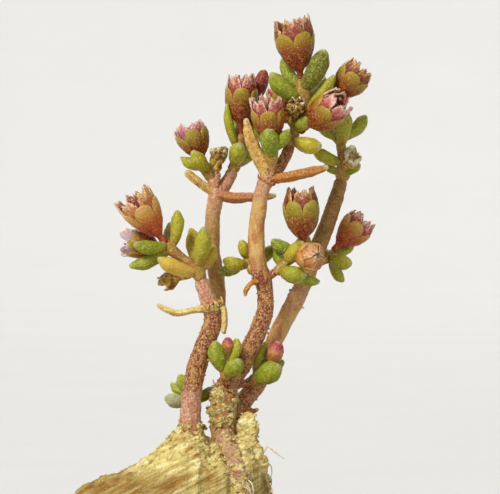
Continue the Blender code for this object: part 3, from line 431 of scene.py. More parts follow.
# A head's leaves are each (share of the way up the shoot, tip, width, tone), with tones from
# -2, pale grey-green, over -1, brown, 0, deep green, and 0.5, yellow-green, to 1, orange-yellow.
HEADS = {
    "leaves_left_head": Head(
        shoot=[(-3.8, -0.5, 23.9, 1), (-4.4, -0.6, 25, 0.95), (-6.2, -0.9, 26.5, 0.72),
               (-7.9, -1.1, 27.7, 0.8), (-8.9, -1.1, 28.7, 0.62)],
        leaves=[(0.1, (-10, -3.2, 26.6), 2.6, 1), (0.1, (-1.7, 1.6, 28.4), 2.2, 0.8),
                (0.24, (-3.2, -2.4, 31.2), 2.9, 0.52), (0.24, (-5.2, 2.6, 31), 2.4, 0.66),
                (0.8, (-7.1, -1.6, 33.9), 2.3, 0.52), (0.8, (-14.3, -1.4, 25.3), 2.4, 0.3),
                (0.92, (-13.6, -3.9, 28.7), 2.4, 0.28), (0.92, (-8.4, 3.6, 31.6), 2.2, 0.4)]),
    "leaves_centre": Head(
        shoot=[(7, -2.1, 41.3, 0.75), (7, -2.3, 42.4, 0.8), (6.9, -2.3, 43.4, 0.6)],
        leaves=[(0.08, (6.6, -4.7, 46.2), 2.7, 0.15), (0.15, (7.5, 0.4, 46.4), 1.8, 0.4),
                (0.6, (5.2, -0.2, 46.6), 1.9, 0.4), (0.6, (9.6, -3.9, 46), 1.9, 0.3)]),
    "leaves_crown": Head(
        shoot=[(9.9, 0, 43.95, 0.82), (10.4, 0, 45.2, 0.85), (11.1, 0, 47.2, 0.75),
               (11.6, 0, 49.6, 0.95), (11.5, 0.1, 51.6, 0.9), (11.4, 0.2, 53.4, 0.6)],
        leaves=[(0.06, (14.4, -2.3, 43.4), 2.9, 0.62), (0.06, (7, 3.6, 45.6), 2.4, 0.4),
                (0.25, (12.4, -3, 47.7), 2.1, 0.3), (0.25, (10.8, 3.8, 48.6), 2.2, 0.4),
                (0.62, (6.8, -1.8, 54.3), 2.9, 0.28), (0.62, (14.9, 4.6, 53.7), 2.3, 0.45),
                (0.8, (14.9, -1.5, 57.8), 3.3, -0.55), (0.8, (8.6, 2.9, 56.6), 2.2, 0.3),
                (0.45, (16.4, -0.9, 54), 2.1, 0.48)],
        branches=[[(11.1, 0, 47.4, 0.7), (12.9, 0.8, 47.8, 0.65), (14.7, 1.3, 48.3, 0.65)]]),
    "leaves_side_right": Head(
        shoot=[(8.15, -1.1, 24.85, 0.65), (9.3, -0.8, 26, 0.8), (10.6, -0.3, 27.2, 0.8),
               (11.6, 0.1, 28.3, 0.6)],
        leaves=[(0.02, (12.1, -3.2, 24), 3, 0.44), (0.15, (8, 2.6, 28), 2, 0.2), (0.1, (14.2, -1.4, 23),
                2.1, 0.36), (0.2, (11.8, -1.7, 29), 2.1, 0.6), (0.75, (12.6, 3.9, 29.6), 2.3, 0.25),
                (0.75, (6.9, -0.4, 29.3), 2.3, 0.15)]),
    "leaves_side_left": Head(
        shoot=[(3.8, 2.4, 24.9, 0.6), (3.5, 2.9, 25.8, 0.75), (3.4, 3.2, 26.8, 0.5)],
        leaves=[(0.2, (-0.3, 1.6, 26.2), 2.3, 0.55), (0.2, (7.3, 3.6, 28.2), 2.2, 0.25),
                (0.7, (2.4, 2, 29.2), 1.7, 0.6), (0.6, (-1, 4.2, 24.2), 2, 0.12)]),
    "leaves_bud_left": Head(
        shoot=[(0.1, -2.8, 9.2, 0.7), (0.2, -3, 10.3, 0.8), (0.3, -3, 11.6, 0.5)],
        leaves=[(0.05, (-1.5, -3.5, 14.3), 3, 0.25), (0.2, (1.9, -2.7, 14.6), 2, 0.45),
                (0.02, (2.1, -4.9, 11.6), 2.9, 0.34), (0.5, (0.2, -1.4, 13.6), 1.6, 0.25)]),
    "leaves_bud_right": Head(
        shoot=[(4.35, 1.3, 8.1, 0.75), (5.4, 1.2, 8.7, 0.9), (6.5, 1, 9.6, 0.6)],
        leaves=[(0.05, (8.4, -1, 10.3), 3.1, 0.3), (0.15, (6.2, 2.2, 13.9), 2.2, 0.5),
                (0.6, (8.9, 2.6, 10.9), 1.8, 0.3)]),
    "leaves_basal": Head(
        shoot=[(-5.3, 1.75, 4.6, 0.65), (-5.3, 2.2, 5.4, 0.8), (-5.4, 2.5, 6.4, 0.5)],
        leaves=[(0.2, (-9.1, 1.8, 5.4), 2.4, -2), (0.2, (-1.5, 2.2, 6.9), 1.9, 0.15),
                (0.8, (-6.9, 2.5, 9), 2, 0.4), (0.7, (-8.2, 4.4, 7.4), 1.8, 0.4)]),
    "leaves_back_left": Head(
        shoot=[(-2.35, 7.3, 38.75, 0.8), (-2.8, 7.6, 39.8, 0.85), (-3.2, 7.9, 40.8, 0.55)],
        leaves=[(0.15, (-4.9, 5, 42.6), 2.2, 0.5), (0.15, (-1.2, 10.4, 42.4), 2.2, 0.45),
                (0.55, (-6.9, 8.8, 41.6), 1.9, 0.5), (0.55, (0.4, 8.2, 43), 1.9, 0.55)]),
    "leaves_back_right": Head(
        shoot=[(1.3, 6.9, 40.05, 0.85), (1.8, 6.8, 41.4, 0.9), (2.3, 6.6, 43.2, 0.75),
               (2.4, 6.6, 45.2, 0.55)],
        leaves=[(0.1, (2.3, 3.6, 43.6), 2.6, 0.45), (0.1, (4.2, 10.2, 43), 2.3, 0.4),
                (0.5, (0.3, 5.2, 49.6), 1.6, 0.45), (0.5, (5.6, 8, 47.6), 2, 0.45),
                (0.75, (1.6, 10, 48.4), 2, 0.4)]),
    "leaves_right_top": Head(
        shoot=[(17.8, 8, 38.65, 1), (18, 8, 40.6, 0.85), (17.7, 8, 42.6, 0.8), (17.4, 7.9, 44.4, 0.6)],
        leaves=[(0.05, (20.4, 6.6, 40.6), 1.6, 0.3), (0.05, (15.2, 9.6, 40.8), 1.6, 0.4),
                (0.35, (13.4, 5.9, 42.8), 2.2, 0.48), (0.35, (19.4, 12.6, 43.2), 2.2, 0.4),
                (0.8, (18.1, 5, 48.6), 2.4, 0.45), (0.8, (16.6, 11.4, 47.6), 2.3, 0.4),
                (0.95, (21.5, 8.6, 47.9), 2.4, 0.38), (0.95, (13.8, 8.4, 47.6), 2.2, 0.4)]),
    "leaves_right_side": Head(
        shoot=[(15.3, 7.95, 26.1, 0.65), (15.9, 8.3, 26.7, 0.7), (16.4, 8.6, 27.3, 0.5)],
        leaves=[(0.2, (19.2, 6.2, 25.6), 2.4, 0.5), (0.2, (15, 12.2, 27.2), 2.3, 0.4),
                (0.5, (18, 9, 22.6), 1.9, 0.45), (0.55, (19.6, 11.4, 28.4), 1.9, 0.4)]),
}
# A flower's closing is how near its petal tips draw together. An open flower's tone runs from
# -1, tan, over 0, red-brown, to 1, olive-green, a bud's from 0, red, to 1, pale, and a dried
# flower's from 0, brown, to 1, pale gold. The petals' tint runs from -1, peach, over 0, ochre, to 1,
# rose, and 2, lilac. The fullness is 1 for an urn, and less for a cup that widens like a cone.
# The first lobe faces the front, turned by that many degrees about the flower's axis.
FLOWERS = {
    "top": Flower("open", (11.35, 0.2, 53.75), (9.9, -0.2, 62.5), 6.2, 0.2, 0.12, 0.25, 0.3, 0.85, 30),
    "crown_right": Flower("open", (14.9, 1.4, 48.5), (20.7, 1.8, 55.3), 5.2, 2.4, 0.22, 0.45, 0.1, 0.85),
    "crown_front": Flower("open", (11.4, -1, 45.6), (17.8, -4.6, 50.4), 5.4, 1, 0.2, 0.25, 0.85),
    "crown_back": Flower("open", (10.3, 1, 46.1), (7.6, 6.6, 51.4), 4.2, 1.2, 0.1, 0.1, 0.5),
    "centre": Flower("open", (6.9, -2.3, 43.75), (6.1, -3.5, 50.7), 5, 0.1, 0, 0.3, 1),
    "side_right": Flower("open", (11.8, 0.2, 28.6), (11.2, 0.6, 37.2), 5.5, 0.3, 0.22, 0.85, 0, 1, 40),
    "side_front": Flower("open", (10.9, -1.4, 26.4), (13.9, -6.6, 27.3), 4.3, 0.6, 0.8, -0.9, -0.9),
    "left": Flower("open", (-9.15, -1.1, 29), (-14.1, -2.2, 36.3), 6, 0.6, 0.02, -0.9, -0.7, 0.72),
    "left_low": Flower("open", (-9.2, -0.3, 28.1), (-15.6, 1.5, 29), 4.4, 0.4, 0, 0.25, 2),
    "right_side": Flower("open", (16.6, 8.75, 27.6), (21.5, 9.9, 32.3), 5.2, 0.3, 0.2, -0.55, 0.7, 0.8),
    "back_left": Flower("open", (-3.35, 8.05, 41.1), (-5.9, 8.9, 46.7), 5.3, 0.2, 0.12, 0.65, 1.35, 0.85),
    "back_right": Flower("open", (2.4, 6.6, 45.5), (2.5, 6.4, 54.2), 5, 0.5, 0.18, 0.4, 0.6),
    "back_small": Flower("bud", (2.9, 7.6, 43.6), (6, 9.8, 55), 2.3, 6.6, 0, 0.1),
    "low_left": Flower("bud", (0.3, -3, 11.9), (0.5, -3.1, 14.9), 1.9, 0.1, 0, 0.6),
    "low_right": Flower("bud", (6.75, 1, 9.8), (8.1, 0.8, 14), 2.6, 0.2, 0, 0.9),
    "left_back": Flower("dried", (-4.6, 0.6, 24.3), (-10.2, 3.6, 22.4), 2.9, 2.8, 0.1, 0.5),
    "right_top": Flower("dried", (18.6, 7.1, 40.2), (19.6, 4.4, 42.2), 2.8, 0.6, 0, 0.9),
    "crown_dry": Flower("dried", (10.5, -0.8, 47.5), (10.6, -3.8, 50.5), 3.1, 0.5, 0, 0.3),
    "back_mid": Flower("dried", (-1.1, 5.35, 39.65), (-1, 4.9, 43.4), 2.7, 0.8, 0, 0.45),
}
# Loose fibres and fine roots: (tone, knots)
FIBRES = [
    (1, [(5.6, -2.6, -2.9, 0.1), (6.3, -2.8, -1.5, 0.12), (7.4, -3, -2.2, 0.2),
     (8.9, -3.2, -3.4, 0.07)]),
    (0.8, [(5.2, -3.4, -2.6, 0.16), (5.9, -3.6, -2.2, 0.14), (6.4, -3.6, -1.4, 0.06)]),
    (0.7, [(5.6, -3.6, -3.6, 0.08), (6.8, -3.9, -4.2, 0.08), (7, -4, -5.6, 0.07),
     (6.4, -4.2, -6.6, 0.06)]),
    (0.4, [(5.9, -3.4, -5.4, 0.08), (6.9, -3.7, -6.2, 0.08), (6.8, -3.9, -7.6, 0.07),
     (6.2, -4.2, -8.9, 0.06)]),
    (0.3, [(4.4, -4.4, -4.8, 0.12), (5.2, -4.9, -5.8, 0.12), (5.6, -5.2, -7.4, 0.1),
     (5.4, -5.6, -9.4, 0.08)]),
    (0.3, [(3, -5.4, -4.4, 0.11), (3.6, -6, -6, 0.11), (3.4, -6.6, -8, 0.09), (4, -7.2, -10, 0.07)]),
    (0.1, [(-1.4, -4.4, -2, 0.09), (-3, -5.8, -3.4, 0.09), (-5.6, -7, -5.4, 0.08),
     (-8, -8, -7.4, 0.06)]),
    (0.2, [(-7, 5.2, -2.4, 0.1), (-9.4, 7.6, -4, 0.1), (-11, 10.4, -7.4, 0.08)]),
    (0.3, [(2, 5.4, -2.6, 0.12), (3.4, 7.4, -5, 0.11), (3.6, 9, -8.6, 0.08)]),
    (0.1, [(-2, 8.4, -3.4, 0.09), (-1, 10.2, -5.8, 0.09), (-2.2, 11.8, -9, 0.07)]),
]


def place(point):
    """A point of the plant, counted from the collar, in metres from the pot's foot."""
    return Vector((point[0], point[1], point[2] + COLLAR)) * MM


def from_collar(spot):
    """A place in metres as millimetres counted from the collar."""
    return spot / MM - Vector((0.0, 0.0, COLLAR))


def smooth_step(share):
    """An even start and stop between 0 and 1."""
    share = max(0.0, min(1.0, share))
    return share * share * (3 - 2 * share)


def level(table, at):
    """The value at that place in a table of (place, value), on a smooth curve through its rows."""
    if at <= table[0][0]:
        return table[0][1]
    for index, (start, end) in enumerate(zip(table, table[1:])):
        if at <= end[0]:
            before, after = table[max(index - 1, 0)], table[min(index + 2, len(table) - 1)]
            span = end[0] - start[0]
            share = (at - start[0]) / span
            leaving = span * (end[1] - before[1]) / (end[0] - before[0])
            arriving = span * (after[1] - start[1]) / (after[0] - start[0])
            return ((2 * share**3 - 3 * share**2 + 1) * start[1]
                    + (share**3 - 2 * share**2 + share) * leaving
                    + (3 * share**2 - 2 * share**3) * end[1]
                    + (share**3 - share**2) * arriving)
    return table[-1][1]


def smooth_route(knots, step):
    """Points about a step apart on a smooth curve through the knots, each with its radius."""
    given = [Vector(knot) for knot in knots]
    ends = [2 * given[0] - given[1]] + given + [2 * given[-1] - given[-2]]
    route = []
    for before, start, end, after in zip(ends, ends[1:], ends[2:], ends[3:]):
        count = max(1, round((end.xyz - start.xyz).length / step))
        for share in (index / count for index in range(count)):
            route.append(0.5 * (
                2 * start + (end - before) * share
                + (2 * before - 5 * start + 4 * end - after) * share**2
                + (3 * start - before - 3 * end + after) * share**3
            ))
    return route + [given[-1]]


def fresh_mesh():
    """An empty bmesh whose points carry the marks."""
    bm = bmesh.new()
    for name in MARKS:
        bm.verts.layers.float.new(name)
    return bm


def mark_layers(bm):
    """The layers that hold the points' marks."""
    return [bm.verts.layers.float[name] for name in MARKS]


def set_marks(vertex, layers, marks):
    """Writes a point's marks."""
    for layer, value in zip(layers, marks):
        vertex[layer] = value


def face_outwards(bm):
    """Turns all faces outwards. The mesh is large meanwhile, as the operator can't judge the
    side of lumps under a third of a millimetre."""
    bmesh.ops.scale(bm, vec=(1 / MM,) * 3, verts=bm.verts)
    bmesh.ops.recalc_face_normals(bm, faces=bm.faces)
    bmesh.ops.scale(bm, vec=(MM,) * 3, verts=bm.verts)
    bm.normal_update()


def add_wrap(bm, sides, rows, position):
    """Adds a closed round form: a grid whose points go to position(row, turn), and whose sides
    and end rows then merge."""
    layers = mark_layers(bm)
    made = bmesh.ops.create_grid(bm, x_segments=sides, y_segments=rows, size=1.0)["verts"]
    for vertex in made:
        row = round((vertex.co.y + 1) / 2 * rows)
        vertex.co, marks = position(row, vertex.co.x * math.pi)
        set_marks(vertex, layers, marks)
    bmesh.ops.remove_doubles(bm, verts=made, dist=SEAM * MM)


def add_sheet(bm, columns, rows, position):
    """Adds a thin closed sheet from position(across, up, inner), with across from -1 to 1."""
    outer = bmesh.ops.create_grid(bm, x_segments=columns, y_segments=rows, size=1.0)["verts"]
    faces = list({face for vertex in outer for face in vertex.link_faces})
    made = bmesh.ops.extrude_face_region(bm, geom=faces, use_keep_orig=True)["geom"]
    inner = [part for part in made if isinstance(part, bmesh.types.BMVert)]
    layers = mark_layers(bm)
    for side, vertices in ((0.0, outer), (1.0, inner)):
        for vertex in vertices:
            across, up = vertex.co.x, (vertex.co.y + 1) / 2
            vertex.co, marks = position(across, up, side)
            set_marks(vertex, layers, marks)


def rings_along(route):
    """For each point of a route, the point and two directions across it that hardly turn."""
    forward = (route[1].xyz - route[0].xyz).normalized()
    reference = Vector((0.0, 0.0, 1.0)) if abs(forward.z) < STEEP else Vector((0.0, -1.0, 0.0))
    across = forward.cross(reference).normalized()
    rings = []
    for index, point in enumerate(route):
        before, after = route[max(index - 1, 0)], route[min(index + 1, len(route) - 1)]
        forward = (after.xyz - before.xyz).normalized()
        across = (across - forward * across.dot(forward)).normalized()
        rings.append((point, across, across.cross(forward)))
    return rings


def add_tube(bm, knots, sides, step, marks, shape=None):
    """Adds a closed tube with rounded ends. shape(share, turn) gives its (width, thickness)."""
    route = smooth_route(knots, step)
    rings = rings_along(route)
    last = len(rings) - 1
    reach = [0.0]
    for start, end in zip(route, route[1:]):
        reach.append(reach[-1] + (end.xyz - start.xyz).length)

    def position(row, turn):
        index = min(max(row - 1, 0), last)
        point, across, upward = rings[index]
        share = reach[index] / reach[last]
        if row in (0, last + 2):
            return place(point.xyz), marks(share, point)
        from_end = min(reach[index], reach[last] - reach[index]) / max(point.w, step)
        rounding = math.sqrt(max(0.0, 1 - (1 - min(1.0, from_end + TUBE_END))**2))
        wide, thick = shape(share, turn) if shape else (1.0, 1.0)
        radius = point.w * rounding
        spot = (point.xyz + across * (radius * wide * math.cos(turn))
                + upward * (radius * thick * math.sin(turn)))
        return place(spot), marks(share, point)

    add_wrap(bm, sides, last + 2, position)


def bead_rise(co, size):
    """How much a point stands up on a skin of small round beads of that size, from -0.5 to 0.5."""
    return 0.5 - noise.voronoi(co / (size * MM))[0][0]


def layered(co, coats):
    """The sum of layers of noise, (size, depth), at a point."""
    return sum(depth * noise.noise(co / (size * MM)) for size, depth in coats)


def roughen(bm, coats, bead=None, amount=None):
    """Moves each point along its normal by layers of noise, (size, depth), and by beads."""
    face_outwards(bm)
    for vertex in bm.verts:
        push = layered(vertex.co, coats)
        if bead:
            push += bead[1] * bead_rise(vertex.co, bead[0])
        if amount:
            push *= amount(vertex)
        vertex.co += vertex.normal * (push * MM)


def spin_profile(bm, steps, profile, closed):
    """Turns a profile of (radius, height) about the upright axis."""
    corners = [bm.verts.new((radius * MM, 0.0, z * MM)) for radius, z in profile]
    ends = corners[1:] + corners[:1] if closed else corners[1:]
    sides = [bm.edges.new(pair) for pair in zip(corners, ends)]
    bmesh.ops.spin(bm, geom=corners + sides, axis=(0, 0, 1), cent=(0, 0, 0), angle=math.tau,
                   steps=steps, use_merge=True)
    bmesh.ops.remove_doubles(bm, verts=bm.verts, dist=TURNED_SEAM * MM)
    bmesh.ops.recalc_face_normals(bm, faces=bm.faces)


def add_object(name, data):
    """A new object in the scene."""
    made = bpy.data.objects.new(name, data)
    bpy.context.scene.collection.objects.link(made)
    return made


def mesh_object(name, bm, material):
    """The bmesh as a smooth object."""
    mesh = bpy.data.meshes.new(name)
    bm.to_mesh(mesh)
    bm.free()
    mesh.materials.append(material)
    mesh.shade_smooth()
    return add_object(name, mesh)


def finish_piece(name, bm, material, slot, *nodes):
    """The bmesh as a smooth piece that rides on the root and stands for those nodes."""
    face_outwards(bm)
    piece = mesh_object(name, bm, material)
    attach(piece, ROOT)
    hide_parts(*nodes)


def surface_spots(bm, wanted):
    """The place and normal of every point that wanted(point) keeps."""
    face_outwards(bm)
    return [(vertex.co.copy(), vertex.normal.copy()) for vertex in bm.verts if wanted(vertex.co)]


def make_crumbs(name, spots, count, sizes, material, slot, chance, flatness=1.0):
    """A piece of small lumps, or flakes, strewn over the spots, each turned and squashed by
    chance and half sunk in."""
    smallest, largest = sizes
    bm = fresh_mesh()
    bmesh.ops.create_icosphere(bm, subdivisions=1, radius=MM)
    corners = len(bm.verts)
    while len(bm.verts) < count * corners:
        bmesh.ops.duplicate(bm, geom=bm.verts[:] + bm.edges[:] + bm.faces[:])
    bm.verts.ensure_lookup_table()
    bmesh.ops.delete(bm, geom=bm.verts[count * corners:], context="VERTS")
    bm.verts.ensure_lookup_table()
    tones = bm.verts.layers.float["tone"]
    for index in range(count):
        spot, normal = chance.choice(spots)
        size = smallest + (largest - smallest) * chance.random()**CRUMB_RARITY
        squash = Vector((1.0, chance.uniform(*CRUMB_BREADTH),
                         chance.uniform(*CRUMB_HEIGHTS) * flatness))
        turned = Vector([chance.uniform(-1, 1) for _ in range(3)]).to_track_quat("Z", "Y")
        middle = spot + normal * (size * CRUMB_STAND * MM)
        tone = chance.random()
        for vertex in bm.verts[index * corners:(index + 1) * corners]:
            knocked = vertex.co * (size * chance.uniform(*CRUMB_KNOCKS))
            vertex.co = middle + turned @ (knocked * squash)
            vertex[tones] = tone
    finish_piece(name, bm, material, slot)


# Materials


def paint(red, green, blue):
    """A colour as a picture shows it, from 0 to 255, for a shader."""
    shown = [value / 255 for value in (red, green, blue)]
    return tuple(((value + 0.055) / 1.055)**2.4 if value > 0.04045 else value / 12.92
                 for value in shown) + (1.0,)


class Shade:
    """A socket of a material. Sums and products of shades add their Math nodes."""

    def __init__(self, tree, socket=None):
        self.tree = tree
        self.socket = socket

    def node(self, kind, settings, sockets, output=0):
        """Adds a node of that type: its settings first, then its sockets' values or links."""
        made = self.tree.nodes.new(kind)
        for name, value in settings.items():
            if name == "stops":
                set_stops(made.color_ramp, value)
            else:
                setattr(made, name, value)
        for name, value in sockets.items():
            if isinstance(value, Shade):
                self.tree.links.new(value.socket, made.inputs[name])
            else:
                made.inputs[name].default_value = value
        return Shade(self.tree, made.outputs[output]) if made.outputs else None

    def sum(self, operation, first, second):
        return self.node("ShaderNodeMath", {"operation": operation}, {0: first, 1: second})

    def __add__(self, other):
        return self.sum("ADD", self, other)

    def __radd__(self, other):
        return self.sum("ADD", other, self)

    def __sub__(self, other):
        return self.sum("SUBTRACT", self, other)

    def __rsub__(self, other):
        return self.sum("SUBTRACT", other, self)

    def __mul__(self, other):
        return self.sum("MULTIPLY", self, other)

    def __rmul__(self, other):
        return self.sum("MULTIPLY", other, self)


def set_stops(ramp, stops):
    """Sets a ramp's stops, each (position, red, green, blue)."""
    while len(ramp.elements) < len(stops):
        ramp.elements.new(1.0)
    for element, (position, *colour) in zip(ramp.elements, stops):
        element.position = position
        element.color = paint(*colour)


def start_material(name, *marks):
    """A bare material, a shade to build its nodes from, and the shades of those marks."""
    material = bpy.data.materials.new(name)
    material.use_nodes = True
    material.node_tree.nodes.clear()
    shade = Shade(material.node_tree)
    return material, shade, *(shade.node("ShaderNodeAttribute", {"attribute_name": mark}, {}, "Fac")
                              for mark in marks)


def finish_material(material, shade, sockets):
    """Gives the material its surface, from the shader's sockets by name."""
    surface = shade.node("ShaderNodeBsdfPrincipled", {}, sockets)
    shade.node("ShaderNodeOutputMaterial", {}, {"Surface": surface})
    return material


def where(shade, stretch=None):
    """The place on the object, stretched for a pattern."""
    spot = shade.node("ShaderNodeTexCoord", {}, {}, "Object")
    if stretch is None:
        return spot
    return shade.node("ShaderNodeMapping", {}, {"Vector": spot, "Scale": stretch})


def mottle(shade, size, detail=3.0, spot=None):
    """Soft noise of that size in millimetres, from 0 to 1."""
    return shade.node("ShaderNodeTexNoise", {}, {
        "Vector": spot or where(shade), "Scale": 1 / (size * MM), "Detail": detail,
        "Roughness": MOTTLE_ROUGHNESS})


def ease(value, low, high, start=0.0, end=1.0):
    """Carries value from low..high over to start..end, smoothly, and holds it there."""
    return value.node("ShaderNodeMapRange", {"interpolation_type": "SMOOTHSTEP"}, {
        "Value": value, "From Min": low, "From Max": high, "To Min": start, "To Max": end})


def ramp(value, *stops):
    """The colour at value on a ramp of (position, red, green, blue) stops."""
    return value.node("ShaderNodeValToRGB", {"stops": stops}, {"Fac": value})


def blend(factor, first, second, how="MIX", shade=None):
    """One colour going over to another. Plain colours are (red, green, blue)."""
    first, second = (colour if isinstance(colour, Shade) else paint(*colour) for colour in (first, second))
    return (shade or factor).node("ShaderNodeMix", {"data_type": "RGBA", "blend_type": how},
                                  {0: factor, 6: first, 7: second}, 2)


def beads(shade, size, low=0.12, high=0.5):
    """Small round beads of that size: (how high on a bead, a chance value for each bead)."""
    cell = {"Vector": where(shade), "Scale": 1 / (size * MM)}
    rise = ease(shade.node("ShaderNodeTexVoronoi", {}, cell, "Distance"), low, high, 1, 0)
    colour = shade.node("ShaderNodeTexVoronoi", {}, cell, "Color")
    return rise, shade.node("ShaderNodeSeparateColor", {}, {"Color": colour})


def grained(shade, skin, size, bright, dark, amount):
    """Skin of fine beads, each its own tint between the skin and a bright colour, with every bead's
    top painted lighter as a highlight, painted shade in the gaps between, and a pale painted glint
    on the odd one: (the colour, how high on a bead)."""
    rise, chance = beads(shade, size)
    tinted = ease(chance + (mottle(shade, 0.8) - 0.5) * 0.6, 0.22, 0.95)
    skin = blend(tinted * amount, skin, bright)
    # Painted highlight: the top of every bead is painted lighter.
    skin = blend(rise * amount * 0.35, skin, bright)
    # Painted shade: the gaps between the beads are painted darker.
    skin = blend(ease(rise, 0, 0.5, 0.4, 0), skin, dark)
    # Painted highlight: a pale glint painted on the odd, wider-spaced bead.
    glint, luck = beads(shade, size * GLINT_SPACING, 0.08, 0.3)
    lit = glint * ease(luck, 0.25, 0.65, 0, 0.8) * (amount + 0.2)
    return blend(lit, skin, blend(GLINT_PALENESS, bright, WHITE, shade=shade)), rise


def relief(height, depth, strength=1.0, under=None):
    """A bump of that depth in millimetres, over another bump if there is one."""
    sockets = {"Height": height, "Distance": depth * MM, "Strength": strength}
    if under:
        sockets["Normal"] = under
    return height.node("ShaderNodeBump", {}, sockets)


def leaf_material():
    """Fleshy green skin with fine glistening beads, their glints and the shade between them painted,
    yellow to the foot and pale at the tip.
    """
    material, shade, along, tone, shoot = start_material("leaf_skin", *MARKS)
    patch = mottle(shade, 1.7)
    green = ramp(tone + (patch - 0.5) * 0.35, (0, 106, 134, 2), (0.3, 148, 160, 8),
                 (0.5, 190, 184, 26), (0.72, 232, 192, 34), (1, 255, 204, 84))
    green = blend(ease(tone, -1, 0, 1, 0), green, (96, 64, 0))
    grey = ease(tone, -2, -1, 1, 0)
    green = blend(grey, green, (186, 190, 160))
    foot = blend(ease(mottle(shade, 0.9), 0.35, 0.65), (200, 150, 52), (172, 104, 44))
    foot = blend(ease(tone, 0.6, 1), foot, (248, 180, 96))
    foot = blend(grey, foot, (170, 172, 140))
    reach = ease(tone, 0.15, 0.6, 0.22, 0.55)
    skin = blend(ease(along + (patch - 0.5) * 0.2, 0.03, reach), foot, green)
    ruddy = ease(mottle(shade, 1.3), 0.52, 0.7, 0, 0.5) * ease(tone, 0.7, 1, 1, 0.3)
    skin = blend(ruddy, skin, (150, 104, 30))
    skin = blend(ease(along, 0.9, 1, 0, 0.7), skin, (204, 206, 150))
    skin = blend(shoot, skin, ramp(patch, (0.3, 164, 80, 50), (0.7, 206, 140, 90)))
    skin, rise = grained(shade, skin, 0.26, (226, 222, 96), (74, 80, 0), 0.4)
    return finish_material(material, shade, {
        "Base Color": skin, "Roughness": 0.45 - rise * 0.22, "Specular IOR Level": 0.38,
        "Subsurface Weight": 0.12, "Subsurface Radius": (1, 0.8, 0.2),
        "Subsurface Scale": 0.5 * MM, "Normal": relief(rise, 0.1)})


def bark_material():
    """Red-brown to tan stem skin, flecked all over with golden beads."""
    material, shade, tone, pink = start_material("stem_bark", "tone", "inner")
    patch = mottle(shade, 1.2)
    skin = ramp(tone + (patch - 0.5) * 0.3, (0, 140, 14, 20), (0.08, 118, 16, 18),
                (0.22, 128, 34, 24), (0.5, 196, 126, 92), (0.74, 255, 212, 120), (1, 142, 102, 22))
    blush = ease(mottle(shade, 1.1, 2, where(shade, (1, 1, 0.35))), 0.48, 0.62, 0, 0.7)
    middling = ease(tone, 0.3, 0.5) * ease(tone, 0.8, 0.95, 1, 0)
    skin = blend(blush * middling, skin, (206, 100, 62))
    streak = ease(mottle(shade, 0.7, 2, where(shade, (1, 1, 0.3))), 0.5, 0.7, 0, 0.6)
    skin = blend(streak * ease(tone, 0.8, 1, 1, 0.35), skin, (232, 192, 100))
    strength = ease(tone, 0.4, 0.7, 0.82, 0.3) * ease(tone, 0, 0.07, 0.35, 1)
    bloom = pink * ease(mottle(shade, 0.9), 0.34, 0.58, 0.45, 1)
    skin = blend(bloom * 0.75, skin, (200, 118, 92))
    gold = blend(bloom, (242, 192, 112), (242, 204, 170))
    skin, rise = grained(shade, skin, 0.21, gold, (86, 20, 14), strength)
    dusted = bloom * ease(mottle(shade, 0.4), 0.46, 0.6, 0, 0.6)
    return finish_material(material, shade, {
        "Base Color": blend(dusted, skin, (240, 202, 174)), "Roughness": 0.46 - rise * 0.2,
        "Specular IOR Level": 0.45, "Subsurface Weight": 0.06, "Subsurface Radius": (1, 0.5, 0.2),
        "Subsurface Scale": 0.4 * MM, "Normal": relief(rise, 0.09)})


def withered_material():
    """Straw-gold dry leaf with brown streaks and paler edges."""
    material, shade, along, tone = start_material("withered_leaf", "along", "tone")
    skin = ramp(tone + (mottle(shade, 0.8) - 0.5) * 0.6, (0, 176, 104, 70), (0.3, 186, 124, 72),
                (0.45, 180, 112, 40), (0.7, 204, 156, 76), (1, 226, 204, 130))
    fibre = mottle(shade, 0.35, 2)
    skin = blend(ease(fibre, 0.48, 0.66, 0, 0.6), skin, (124, 66, 20))
    skin = blend(ease(along, 0.9, 1), skin, (206, 190, 140))
    rise, chance = beads(shade, 0.28)
    return finish_material(material, shade, {
        # Painted highlight: the top of the odd bead is painted pale, as a glint.
        "Base Color": blend(rise * chance * 0.7, skin, (240, 214, 134)), "Roughness": 0.6,
        "Specular IOR Level": 0.3, "Subsurface Weight": 0.06, "Subsurface Radius": (1, 0.6, 0.3),
        "Subsurface Scale": 0.4 * MM, "Normal": relief(fibre + rise * 0.5, 0.12)})


def sepal_material():
    """Fleshy sepals, red-brown with golden beads below and ochre to green at their tips."""
    material, shade, along, tone, rim = start_material("sepal_skin", *MARKS)
    height = along + (mottle(shade, 1.3) - 0.5) * 0.3
    red = ramp(height, (0.05, 150, 36, 20), (0.25, 122, 10, 0), (0.5, 136, 32, 0),
               (0.68, 158, 96, 4), (0.85, 172, 144, 20), (1, 200, 178, 56))
    olive = ramp(height, (0.05, 144, 40, 10), (0.24, 126, 36, 0), (0.44, 132, 88, 0),
                 (0.62, 142, 136, 8), (1, 190, 188, 62))
    tan = ramp(height, (0.05, 212, 58, 62), (0.25, 206, 68, 56), (0.46, 212, 104, 58),
               (0.66, 226, 160, 70), (0.82, 232, 188, 90), (1, 246, 190, 136))
    skin = blend(ease(tone, 0, 1), red, olive)
    skin = blend(ease(tone, -1, 0), tan, skin)
    skin = blend(rim * ease(along, 0.35, 0.8, 0, 0.55), skin, (214, 190, 92))
    amount = ease(along, 0.3, 0.9, 0.42, 0.2)
    skin, rise = grained(shade, skin, 0.28, (236, 164, 54), (84, 18, 0), amount)
    return finish_material(material, shade, {
        "Base Color": skin, "Roughness": 0.44 - rise * 0.18, "Specular IOR Level": 0.38,
        "Subsurface Weight": 0.08, "Subsurface Radius": (1, 0.5, 0.2),
        "Subsurface Scale": 0.4 * MM, "Normal": relief(rise, 0.09)})


